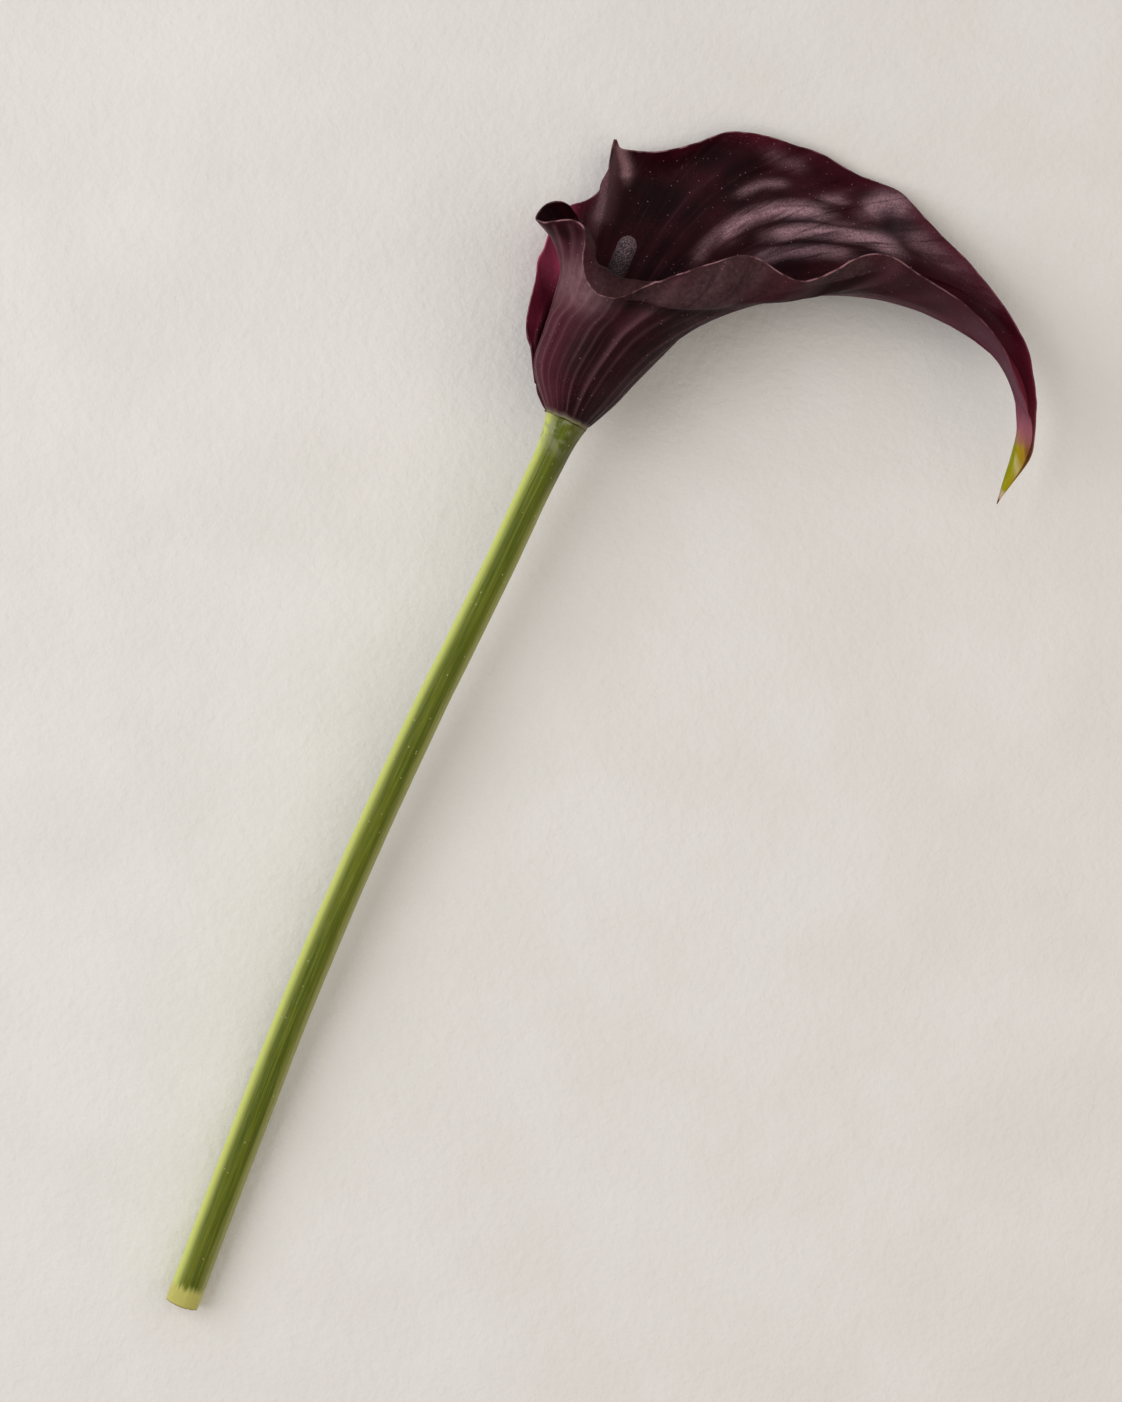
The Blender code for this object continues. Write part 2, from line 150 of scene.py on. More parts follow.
RIM = (
    (0.35, (-58.9, 124.3, 20.5)), (0.7, (-61.2, 125.3, 23.5)), (1.35, (-65.6, 123.2, 28.0)),
    (1.7, (-67.0, 120.1, 29.8)), (2.3, (-64.7, 117.9, 31.5)), (2.65, (-62.8, 118.9, 32.5)),
    (3.35, (-58.4, 120.9, 34.0)), (3.7, (-55.5, 120.2, 35.5)), (4.35, (-52.5, 112.8, 39.0)),
    (4.7, (-50.0, 108.5, 40.0)), (5.5, (-44.1, 105.9, 41.0)), (5.75, (-41.5, 106.5, 40.8)),
    (6.5, (-34.6, 113.2, 40.0)), (7.5, (-22.6, 123.8, 39.5)), (8.3, (-12.3, 128.7, 37.5)),
    (8.65, (-5.7, 127.6, 35.5)), (9.35, (4.4, 132.6, 33.0)), (9.7, (8.5, 137.9, 33.0)),
    (10.25, (16.7, 141.8, 32.5)), (10.6, (24.3, 140.7, 30.5)), (11.5, (42.6, 136.4, 27.3)),
    (12.35, (54.8, 127.9, 24.3)), (12.7, (58.6, 124.0, 23.3)), (13.3, (63.9, 118.4, 21.6)),
    (13.65, (65.6, 114.6, 21.0)), (14.4, (65.7, 106.7, 20.7)), (14.7, (64.7, 101.9, 20.5)),
    (15.3, (65.2, 102.9, 19.5)), (15.6, (66.4, 106.9, 18.9)), (16.35, (66.6, 114.7, 17.8)),
    (16.65, (64.9, 119.9, 17.3)), (17.4, (57.1, 135.4, 15.5)), (17.7, (52.5, 139.8, 14.5)),
    (18.5, (36.8, 150.0, 11.0)), (19.3, (21.5, 157.3, 7.4)), (19.5, (17.2, 159.6, 6.0)),
    (19.75, (13.1, 161.4, 4.6)), (20.2, (2.8, 161.4, 3.4)), (20.4, (-0.7, 161.8, 3.5)),
    (20.55, (-3.7, 162.3, 3.6)), (20.7, (-7.1, 162.9, 3.8)), (20.85, (-10.3, 162.9, 4.1)),
    (21.5, (-22.3, 161.7, 5.5)), (22.5, (-37.4, 154.1, 5.0)), (23.5, (-51.8, 145.9, 5.5)),
    (23.8, (-55.2, 144.9, 9.0)), (24.35, (-55.8, 139.7, 10.5)), (24.7, (-56.0, 135.9, 8.0)),
    (25.5, (-58.0, 129.9, 7.4)), (26.5, (-63.4, 121.5, 9.5)), (27.35, (-63.4, 111.1, 12.0)),
    (27.7, (-62.1, 106.2, 12.4)), (28.35, (-60.2, 94.9, 13.6)), (28.55, (-59.0, 92.1, 14.2)),
    (28.8, (-57.1, 90.4, 15.2)),
)

STEM = (
    ((-48.7, -162.4, 4.05), 4.15), ((-49.5, -121.2, 5.8), 4.1), ((-49.9, -80.9, 8.0), 4.05),
    ((-49.1, -43.1, 10.2), 4.0), ((-47.2, -4.9, 12.6), 3.95), ((-45.5, 17.0, 14.2), 3.9),
    ((-43.9, 38.9, 15.8), 3.87), ((-43.0, 55.9, 17.0), 3.87), ((-42.3, 66.0, 17.7), 4.0),
    ((-42.1, 71.0, 18.1), 4.4), ((-42.0, 74.5, 18.3), 5.0), ((-41.9, 76.4, 18.4), 5.45),
)

STEM_PLUG = (((-41.9, 76.5, 18.4), 4.45), ((-42.0, 79.1, 18.6), 4.45))

SPADIX = ((-42.0, 79.5, 18.65), (-43.7, 93.8, 19.4), (-44.4, 108.0, 20.2), (-44.1, 118.3, 20.8),
          (-44.0, 124.1, 21.0))
SPADIX_RADIUS = 2.45
SPADIX_FOOT_RADIUS = 2.0
SPADIX_DOME = 3.0


def through(knots, points, at):
    """A smooth curve through the points, one value of the parameter each, read at the values asked for."""
    knots = np.asarray(knots, float)
    points = np.asarray(points, float)
    at = np.asarray(at, float)
    gaps = knots[1:] - knots[:-1]
    slopes = (points[1:] - points[:-1]) / gaps[:, None]
    before = gaps[:-1, None]
    after = gaps[1:, None]
    middle = (slopes[:-1] * after + slopes[1:] * before) / (before + after)
    tangents = np.vstack([slopes[:1], middle, slopes[-1:]])
    i = np.clip(np.searchsorted(knots, at, side="right") - 1, 0, len(gaps) - 1)
    width = gaps[i][:, None]
    s = ((at - knots[i]) / gaps[i])[:, None]
    start = (1 + 2 * s) * (1 - s) ** 2 * points[i] + s * (1 - s) ** 2 * width * tangents[i]
    end = s * s * (3 - 2 * s) * points[i + 1] + s * s * (s - 1) * width * tangents[i + 1]
    return start + end


def smoothstep(value):
    value = np.clip(value, 0.0, 1.0)
    return value * value * (3 - 2 * value)


def tube_point(angle, height):
    heights = [row[0] for row in TUBE]
    centre = np.array([np.interp(height, heights, [row[1][axis] for row in TUBE]) for axis in range(3)])
    radius = np.interp(height, heights, [row[2] for row in TUBE])
    radius += LAYER_GAP * min(1.0, max(0.0, (-angle - LAYER_STARTS) / LAYER_BLEND))
    turn = math.radians(angle)
    across = np.array([math.cos(TUBE_LEAN), -math.sin(TUBE_LEAN), 0.0])
    up = np.array([0.0, 0.0, 1.0])
    return centre + radius * (math.cos(turn) * across + math.sin(turn) * up)


def vein_curve(vein, rows):
    angle, share, points = vein
    rings = [tube_point(angle, 0.0)] + [tube_point(angle, height * share) for height in RING_HEIGHTS]
    points = np.array(rings + [np.array(point) for point in points])
    steps = np.linalg.norm(points[1:] - points[:-1], axis=1)
    beyond = np.cumsum(steps[2:]) / steps[2:].sum()
    knots = [0.0, *RING_SHARES, *(RING_SHARES[1] + (1 - RING_SHARES[1]) * beyond)]
    return through(knots, points, rows), points[-1]


def spathe_points(columns, rows):
    curves = [vein_curve(vein, rows) for vein in VEINS]
    lofted = np.stack([points for points, _ in curves])
    numbers = np.arange(len(VEINS), dtype=float)
    sheet = np.stack([through(numbers, lofted[:, k], columns) for k in range(len(rows))], axis=1)
    margin = sorted([(float(n), curves[n][1]) for n in range(len(VEINS))]
                    + [(number, np.array(point)) for number, point in RIM], key=lambda entry: entry[0])
    wanted = through([number for number, _ in margin], [point for _, point in margin], columns)
    pull = smoothstep((rows - RIM_DETAIL_FROM) / (1 - RIM_DETAIL_FROM))
    return sheet + (wanted - sheet[:, -1])[:, None, :] * pull[None, :, None]


# Lines on the table plane, as the camera sees them, where the sheet folds, carries painted sheen, or takes a
# painted highlight on its folds.
# Each painted line is (points, width, strength).
CREASE = ((-41.8, 110.7), (-35.3, 112.8), (-29.0, 113.7), (-24.7, 115.2), (-18.1, 118.1), (-12.2, 122.2))
SHEEN_BANDS = (
    (((-24.1, 133.3), (-20.8, 140.0), (-14.8, 145.2), (-7.9, 148.3), (-0.4, 149.7)),
     2.0, 1.0),
    (((-13.4, 139.4), (-4.3, 144.3), (4.7, 147.1), (12.3, 148.5), (19.6, 147.9)),
     2.0, 0.95),
    (((-14.4, 131.9), (-7.5, 137.3), (1.2, 140.8), (8.5, 142.8)),
     1.7, 0.55),
    (((7.2, 153.6), (10.4, 158.1), (13.9, 159.5), (17.5, 158.2)),
     2.4, 0.75),
    (((-4.0, 152.3), (2.1, 154.8)),
     1.4, 0.55),
    (((-24.5, 145.6), (-19.1, 150.9), (-13.5, 153.3)),
     1.1, 0.45),
    (((-21.3, 158.8), (-16.0, 158.4), (-11.1, 158.8)),
     1.8, 0.24),
    (((18.5, 153.1), (26.0, 152.1), (33.9, 150.2), (42.1, 147.4), (49.4, 144.3)),
     2.6, 0.42),
    (((-27.4, 126.4), (-26.4, 131.4), (-23.8, 137.5)),
     1.6, 0.35),
)
GROOVES = (
    (((-25.3, 126.3), (-21.5, 134.4), (-16.6, 139.7), (-10.3, 144.3), (-3.3, 147.0), (2.3, 148.1),
      (9.5, 150.3), (13.6, 152.6)),
     0.5, 0.85),
    (((-18.4, 129.1), (-12.3, 136.6), (-5.0, 141.1), (2.2, 143.4), (9.5, 145.2), (16.3, 145.9)),
     0.5, 0.8),
    (((-26.0, 137.9), (-20.7, 144.8), (-14.5, 149.6), (-7.5, 152.2), (-0.5, 152.5), (6.1, 153.7)),
     0.55, 0.8),
    (((-19.5, 141.8), (-13.5, 147.2), (-6.6, 150.0), (-1.9, 150.9)),
     0.28, 0.5),
    (((-14.2, 141.4), (-4.6, 145.2), (4.3, 148.1)),
     0.25, 0.4),
    (((17.8, 149.8), (26.4, 148.7), (35.6, 145.8), (43.0, 142.7)),
     0.5, 0.6),
)
# painted highlight along the lit left fold and at its pointed corner
FOLD_SHEEN_LINES = (
    (((-55.9, 146.3), (-55.7, 142.4), (-55.2, 137.6), (-54.6, 134.6), (-54.0, 130.6), (-53.6, 125.4)),
     2.3, 0.28),
    (((-56.4, 147.3), (-54.6, 144.6), (-52.6, 142.2), (-51.3, 139.0)),
     1.4, 1.0),
)
LINE_ENDS = 0.12  # share of a painted line over which it fades in and out
LINE_END_LEVEL = 0.25
NECK_SPOT = (-50.5, 111.5)
NECK_SPOT_WIDTH = 8.0
TIP_LINE = ((62.7, 119.0), (64.3, 115.0), (66.2, 111.0), (66.2, 105.0), (66.0, 100.9), (65.1, 98.5))


# -------------------- small numeric helpers
NOISE_TABLE = 4096
NOISE_OCTAVES = 3
NOISE_STEP = 2.1
CLOUD_SHIFT = (17.3, 5.1, 9.7)


def wave_noise(x, seed):
    """Smooth repeatable one-dimensional noise in about -1..1."""
    rng = np.random.default_rng(seed)
    total = np.zeros_like(x, dtype=float)
    amplitude = 1.0
    frequency = 1.0
    most = 0.0
    for _ in range(NOISE_OCTAVES):
        values = rng.uniform(-1, 1, NOISE_TABLE)
        position = x * frequency + NOISE_TABLE / 4
        cell = np.floor(position).astype(int)
        share = smoothstep(position - cell)
        here, there = values[cell % NOISE_TABLE], values[(cell + 1) % NOISE_TABLE]
        total += amplitude * (here * (1 - share) + there * share)
        most += amplitude
        amplitude *= 0.5
        frequency *= NOISE_STEP
    return total / most


def cloud(points, scale, seed):
    """Smooth three-dimensional noise at each point, with features about `scale` across."""
    offset = Vector([seed * shift for shift in CLOUD_SHIFT])
    flat = points.reshape(-1, 3) / scale
    values = np.array([noise.noise(Vector(p) + offset) for p in flat])
    return values.reshape(points.shape[:-1])


def bell(value, width):
    """1 where the value is 0, falling off smoothly over about `width` on both sides."""
    return np.exp(-(value / width) ** 2)


def stretch(value, start, rise, end, fall):
    """1 between `start + rise` and `end - fall`, 0 outside `start` and `end`, smooth between them."""
    return smoothstep((value - start) / rise) * smoothstep((end - value) / fall)


def onward(value, start, rise):
    """0 up to `start`, 1 from `start + rise` on, smooth between them."""
    return smoothstep((value - start) / rise)


def run_along(points):
    """The distance from the first point of each line to each of its points."""
    steps = np.linalg.norm(points[..., 1:, :] - points[..., :-1, :], axis=-1)
    return np.concatenate([np.zeros_like(steps[..., :1]), np.cumsum(steps, axis=-1)], axis=-1)


def seen_from_above(points):
    """Where each point falls on the table plane, along the line from the camera."""
    centre = np.array(VIEW_CENTRE)
    return centre + (points[..., :2] - centre) * (VIEW_HEIGHT / (VIEW_HEIGHT - points[..., 2:3]))


def line_distance(flat, line):
    """For each flat point: distance to a line of segments, side of it, and share of its length."""
    line = np.array(line)
    best = np.full(flat.shape[:-1], np.inf)
    side = np.zeros_like(best)
    share = np.zeros_like(best)
    for number, (a, b) in enumerate(zip(line[:-1], line[1:])):
        step = b - a
        t = np.clip(((flat - a) @ step) / (step @ step), 0, 1)
        gap = flat - (a + t[..., None] * step)
        distance = np.linalg.norm(gap, axis=-1)
        nearer = distance < best
        best = np.where(nearer, distance, best)
        side = np.where(nearer, np.sign(step[0] * gap[..., 1] - step[1] * gap[..., 0]), side)
        share = np.where(nearer, (number + t) / (len(line) - 1), share)
    return best, side, share


def painted(flat, lines):
    """How strongly the painted lines show at each flat point: the strongest of them."""
    total = np.zeros(flat.shape[:-1])
    for line, width, strength in lines:
        distance, _, share = line_distance(flat, line)
        ends = LINE_END_LEVEL + (1 - LINE_END_LEVEL) * stretch(share, 0, LINE_ENDS, 1, LINE_ENDS)
        total = np.maximum(total, strength * ends * bell(distance, width))
    return total


def grid_faces(wide, high, closed=False):
    """Quads of a grid of points, column by column, joined from the last column to the first if closed."""
    i, k = np.meshgrid(np.arange(wide if closed else wide - 1), np.arange(high - 1), indexing="ij")
    j = (i + 1) % wide
    return np.stack([i * high + k, j * high + k, j * high + k + 1, i * high + k + 1], -1).reshape(-1, 4)


def in_box(points):
    """The points in metres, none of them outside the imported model's box."""
    low, high = (np.array(corner) for corner in CAD_BOX)
    return np.clip(points * MM, low + BOX_MARGIN, high - BOX_MARGIN)


def new_mesh(name, points, faces, attributes):
    mesh = bpy.data.meshes.new(name)
    mesh.from_pydata(in_box(points).tolist(), [], faces)
    for key, values in attributes.items():
        layer = mesh.attributes.new(key, "FLOAT", "POINT")
        layer.data.foreach_set("value", values.astype(np.float32))
    mesh.shade_smooth()
    mesh.validate()
    mesh.update()
    obj = bpy.data.objects.new(name, mesh)
    bpy.context.scene.collection.objects.link(obj)
    return obj


# -------------------- spathe
COLUMN_COUNT = 380
ROW_COUNT = 104
# shares of a vein's length where extra rows lie, and vein numbers where extra columns lie
EDGE_ROWS = (0.0, 0.0005, 0.0014, 0.003, 0.006, 0.011, 0.018)
EDGE_COLUMNS = (0.0, 0.006, 0.018, 0.04, 0.08)
FOOT_ROWS = (0.0, 0.002, 0.005, 0.01)
# the rows that set how columns are spaced, and how much each counts
SPACING_ROWS = (0.2, 0.6, 1.0)
SPACING_WEIGHTS = (1.0, 0.8, 1.4)
SPACING_LEAST = 0.35

SKIRT = 0.9
SKIRT_FLARE = 0.14
SKIRT_SHARES = (1.0, 0.97, 0.9, 0.6, 0.3)

FULL_THICKNESS = 0.85
RIM_THICKNESS = 0.42
THINNING = 14.0  # distance from the rim where the sheet starts to thin
RIM_ROUNDING = 0.30
SIDE_ROUNDING = 0.35
FOOT_ROUNDING = 0.12

SWELLS = ((16.0, 1, 0.35), (6.0, 2, 0.12))  # size, seed, height
RUFFLES = ((4.2, 5, 3.5, 0.30), (1.7, 6, 1.2, 0.10))  # length on the rim, seed, reach from it, height
SHOULDER_HEIGHT = 0.85
TUCK_DEPTH = 0.45

RIB_ANGLE = 13.0  # degrees of the collar from one rib to the next
RIB_HEIGHT = 0.13
FURROW_DEPTH = 0.09
RIB_POWER = 2.2

# areas of the sheet in vein numbers: start, rise and, where they end before the last vein, end and fall
FRONT_VEINS = (5.2, 0.8, 11.5, 1.5)
LIP_VEINS = (3.2, 0.6, 10.5, 1.5)
BACK_VEINS = (16.2, 0.6, 24.6, 0.3)
# where the painted glow of light through the margin is strongest
BACKLIT_VEINS = (13.0, 3.0)
LEFT_FOLD_VEINS = (22.0, 0.8)
FLAP_VEINS = (25.6, 0.8)
MIDRIB_SHIFT = 0.55
MIDRIB_WIDTH = 0.09


def column_numbers():
    """Vein numbers spaced so that columns are about evenly far apart, on the tube and at the margin."""
    last = len(VEINS) - 1
    fine = np.linspace(0, last, 100 * last + 1)
    lines = spathe_points(fine, np.array(SPACING_ROWS))
    steps = np.linalg.norm(lines[1:] - lines[:-1], axis=2)
    density = (steps / steps.mean(axis=0) * np.array(SPACING_WEIGHTS)).sum(axis=1) + SPACING_LEAST
    travelled = np.concatenate([[0.0], np.cumsum(density)])
    even = np.interp(np.linspace(0, travelled[-1], COLUMN_COUNT), travelled, fine)
    clear = EDGE_COLUMNS[-1] * 1.5
    inner = even[(even > clear) & (even < last - clear)]
    return np.concatenate([EDGE_COLUMNS, inner, last - np.array(EDGE_COLUMNS)[::-1]])


def row_shares():
    """Shares of a vein's length where the rows lie."""
    count = ROW_COUNT - len(FOOT_ROWS) - len(EDGE_ROWS)
    body = np.linspace(FOOT_ROWS[-1], 1 - EDGE_ROWS[-1], count + 2)[1:-1]
    return np.concatenate([FOOT_ROWS, body, 1 - np.array(EDGE_ROWS)[::-1]])


def sheet_normals(points):
    normal = np.cross(np.gradient(points, axis=0), np.gradient(points, axis=1))
    length = np.linalg.norm(normal, axis=2, keepdims=True)
    return normal / np.maximum(length, 1e-9)


def rounded(distance, reach):
    """The profile of a round edge: 0 at the edge, 1 from `reach` on."""
    s = np.clip(distance / reach, 0.0, 1.0)
    return np.sqrt(1 - (1 - s) ** 2)


def with_skirt(points, angles):
    """The sheet with a short uneven skirt below the collar, which hides where it meets the stem."""
    reach = SKIRT * (0.75 + 0.25 * wave_noise(angles / 14.0, 41))
    down = np.array([math.sin(TUBE_LEAN), math.cos(TUBE_LEAN), 0.0])
    outward = sheet_normals(points)[:, 0]
    skirt = [points[:, 0] - down * (reach * share)[:, None] + outward * SKIRT_FLARE * share
             for share in SKIRT_SHARES]
    return np.concatenate([np.stack(skirt, axis=1), points], axis=1)


def rib_pattern(points, angles, along, to_rim):
    """Each point's place across the ribs, counted in ribs, and their height there (0..1)."""
    jitter = (wave_noise(angles / 23.0, 8) * 0.45)[:, None] + wave_noise(along / 34.0, 9) * 0.12
    phase = angles[:, None] / RIB_ANGLE + jitter
    apart = np.linalg.norm(np.gradient(points, axis=0), axis=2) / np.maximum(
        np.abs(np.gradient(phase, axis=0)), 1e-4)

    def ridges(count):
        return (np.cos(2 * math.pi * count * phase) * 0.5 + 0.5) ** RIB_POWER

    # one set of ribs from the collar up, a second between them where the sheet spreads, and then a third
    ribs = np.maximum(ridges(1), onward(apart, 5.5, 3.0) * ridges(2) * 0.6)
    ribs = np.maximum(ribs, onward(apart, 12.0, 5.0) * ridges(4) * 0.4)
    fade = smoothstep(along / 3.0) * smoothstep(to_rim / 2.0)
    strength = 0.5 + 0.5 * wave_noise(phase * 0.9 + along * 0.02, 12)
    return phase, ribs * fade * strength


def closed_sheet(wide, high):
    """Joins two grids of points at their borders. Returns the points still used, and the faces."""
    outer_faces = grid_faces(wide, high)
    inner_faces = outer_faces[:, ::-1] + wide * high
    keep = np.arange(2 * wide * high)
    grid = keep.reshape(2, wide, high)
    for edge in (grid[:, 0, :], grid[:, -1, :], grid[:, :, 0], grid[:, :, -1]):
        keep[edge[1]] = edge[0]
    used, index = np.unique(keep[np.concatenate([outer_faces, inner_faces])], return_inverse=True)
    return used, index.reshape(-1, 4).tolist()


def make_spathe():
    columns = column_numbers()
    rows = row_shares()
    angles = through(np.arange(len(VEINS)), [[vein[0]] for vein in VEINS], columns)[:, 0]
    points = with_skirt(spathe_points(columns, rows), angles)
    rows = np.concatenate([np.zeros(len(SKIRT_SHARES)), rows])
    along = run_along(points)
    to_rim = along[:, -1:] - along
    rim_run = run_along(points[:, -1])
    side_a = run_along(points.swapaxes(0, 1)).T
    side_b = side_a[-1:] - side_a
    from_keel = (columns - KEEL_VEIN)[:, None]
    normal = sheet_normals(points)

    # soft undulation of the whole sheet, and fine ruffles that fade in from the margin
    swell = sum(cloud(points, size, seed) * height for size, seed, height in SWELLS)
    calm = smoothstep(along / 22.0) * (1 - 0.8 * bell(from_keel, 1.6))
    ruffle = sum(wave_noise(rim_run / length, seed)[:, None] * np.exp(-to_rim / reach) * height
                 for length, seed, reach, height in RUFFLES)
    points = points + normal * (swell * calm + ruffle * (1 - 0.8 * bell(from_keel, 1.3)))[..., None]
    normal = sheet_normals(points)

    # the front wall's shoulder: the sheet bulges above the crease and turns in sharply under it
    distance, side, share = line_distance(seen_from_above(points), CREASE)
    above = distance * side
    front = stretch(columns, *FRONT_VEINS)[:, None]
    window = front * stretch(share, 0, 0.10, 1, 0.25) * (normal[..., 2] > 0.0)
    bulge = onward(above, -0.35, 1.0) * np.exp(-np.maximum(above, 0) / 5.0)
    tuck = bell(above + 0.8, 1.0)
    points = points + normal * (window * (SHOULDER_HEIGHT * bulge - TUCK_DEPTH * tuck))[..., None]
    normal = sheet_normals(points)
    shoulder = front * onward(above, -0.2, 0.6) * (normal[..., 2] > -0.2) * onward(share, 0.02, 0.1)
    # painted shade in the crease under the shoulder
    crease_shade = window * bell(above + 1.0, 1.4)

    # where the materials change: painted sheen, a painted highlight on the folds, lip, flap, neck and tip
    flat = seen_from_above(points)
    # painted sheen: pale bands along the drawn lines on the back wall's inner face, cut by the grooves
    sheen_bands = stretch(columns, *BACK_VEINS)[:, None] * painted(flat, SHEEN_BANDS) * (1 - painted(flat, GROOVES))
    # painted highlight on the left fold
    fold_sheen = onward(columns, *LEFT_FOLD_VEINS)[:, None] * painted(flat, FOLD_SHEEN_LINES)
    # painted light: how strongly the margin's backlit glow shows, carried as the "thin" attribute
    backlit_share = (0.25 + 0.75 * onward(columns, *BACKLIT_VEINS))[:, None]
    lip = stretch(columns, *LIP_VEINS)[:, None] * np.exp(-to_rim / 9.0)
    flap = onward(columns, *FLAP_VEINS)[:, None] * onward(rows, 0.45, 0.25)
    # painted light: the top of the flap glows lighter pink
    flap_top = flap * onward(points[..., 1], 103.0, 11.0)
    neck = bell(np.linalg.norm(flat - np.array(NECK_SPOT), axis=-1), NECK_SPOT_WIDTH)
    point = spathe_points(np.array([float(KEEL_VEIN)]), np.array([1.0]))[0, 0]
    to_point = np.linalg.norm(points - point, axis=2)
    distance, side, _ = line_distance(flat, TIP_LINE)
    tip_across = distance * side
    midrib = bell(from_keel + MIDRIB_SHIFT, MIDRIB_WIDTH)
    # painted light and shade: how far each point faces the window lamp, with noise, fading out along the horn
    left = -np.array([math.cos(VIEW_ROLL), math.sin(VIEW_ROLL), 0.0])
    lit = normal @ left + 0.15 * cloud(points, 9.0, 4)
    lit = lit * (1 - 0.75 * onward(along, 42.0, 25.0))
    phase, ribs = rib_pattern(points, angles, along, to_rim)

    # two faces half a thickness either side, rounded at every border, with the ribs on them
    thin = smoothstep(1 - to_rim / THINNING)
    half = 0.5 * (FULL_THICKNESS + (RIM_THICKNESS - FULL_THICKNESS) * thin)
    tipness = bell(from_keel, 1.0) * onward(rows, 0.78, 0.2)
    half = half * (1 - 0.45 * tipness) * (0.3 + 0.7 * smoothstep(along / 1.8))
    closing = (rounded(to_rim, RIM_ROUNDING) * rounded(side_a, SIDE_ROUNDING)
               * rounded(side_b, SIDE_ROUNDING) * rounded(along, FOOT_ROUNDING))
    outer = points + normal * ((half + RIB_HEIGHT * ribs) * closing)[..., None]
    inner = points - normal * ((half + FURROW_DEPTH * (1 - ribs)) * closing)[..., None]
    used, faces = closed_sheet(*points.shape[:2])

    def both(on_outer, on_inner):
        """The values of the joined points, from those of the two faces."""
        return np.stack([np.broadcast_to(on_outer, along.shape),
                         np.broadcast_to(on_inner, along.shape)]).ravel()[used]

    attributes = {name: both(values, values) for name, values in {
        "to_point": to_point, "rib": ribs, "edge": to_rim, "along": along, "phase": phase,
        "thin": backlit_share, "lit": lit, "flap_top": flap_top, "across": tip_across}.items()}
    attributes.update({
        "outside": both(1.0, 0.0),
        "lip": both(0.0, lip),
        # painted sheen on the inner face, and a painted highlight on the folds
        "sheen_bands": both(0.0, sheen_bands),
        "fold_sheen": both(fold_sheen * 0.4, fold_sheen),
        "neck": both(neck, 0.0),
        "flap": both(flap * 0.2, flap),
        "shoulder": both(shoulder, 0.0),
        "crease_shade": both(crease_shade, 0.0),
        "midrib": both(midrib, 0.0),
    })
    every = np.stack([outer, inner]).reshape(-1, 3)
    spathe = new_mesh("spathe_sheet", every[used], faces, attributes)
    spathe.data.materials.append(spathe_material())
    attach(spathe, "root")
    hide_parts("spathe")


# -------------------- stem and spadix
STEM_AROUND = 120
STEM_BODY_RINGS = 416
STEM_BODY_FROM = 0.7
STEM_END_STATIONS = (0.0, 0.05, 0.15, 0.35)
STEM_END_ROUNDING = (0.28, 0.14, 0.05, 0.01)
STEM_FLUTES = ((9, 0.6, 0.035), (17, 2.0, 0.02))  # count, turn, height
STEM_PLUG_PAST = (0.1, 2.7)  # distance of the plug's rings past the end of the stem
CUT_RINGS = (0.12, 0.28, 0.44, 0.60, 0.76, 0.90)  # shares of the radius
CUT_HOLLOW = 0.18
CUT_RAGGED = 0.16
CUT_FIBRES = 0.08
SPADIX_AROUND = 160
SPADIX_BODY_RINGS = 396
SPADIX_DOME_RINGS = 44
SPADIX_DOME_END = math.radians(88)
GRAIN = 0.42
GRAIN_HEIGHT = 0.16
GRAIN_ROW = GRAIN * 0.87
GRAIN_SEED = 1000


def rod_grid(centres, radii, around):
    """Rings of points about a line that runs mostly along +Y, and the direction outwards at each point."""
    direction = np.gradient(centres, axis=0)
    direction /= np.linalg.norm(direction, axis=1, keepdims=True)
    side = np.cross(direction, np.array([0.0, 0.0, 1.0]))
    side /= np.linalg.norm(side, axis=1, keepdims=True)
    up = np.cross(side, direction)
    turn = full_turn(around)
    out = np.cos(turn)[:, None, None] * side[None] + np.sin(turn)[:, None, None] * up[None]
    return centres[None] + out * radii[..., None], out


def full_turn(count):
    return np.linspace(0, 2 * math.pi, count, endpoint=False)


def add_rod(name, points, attributes):
    """A mesh from rings of points, closed at both ends by a fan of triangles about the ring's middle."""
    wide, high = points.shape[:2]
    start, end = wide * high, wide * high + 1
    first = np.arange(wide) * high
    after = np.roll(first, -1)
    faces = grid_faces(wide, high, closed=True).tolist()
    faces += [[int(a), start, int(b)] for a, b in zip(first, after)]
    faces += [[int(b), end, int(a)] for a, b in zip(first + high - 1, after + high - 1)]
    middles = [points[:, 0].mean(axis=0), points[:, -1].mean(axis=0)]
    whole = {key: np.concatenate([np.broadcast_to(values, (wide, high)).ravel(),
                                  [np.mean(values[..., 0]), np.mean(values[..., -1])]])
             for key, values in attributes.items()}
    return new_mesh(name, np.concatenate([points.reshape(-1, 3), middles]), faces, whole)


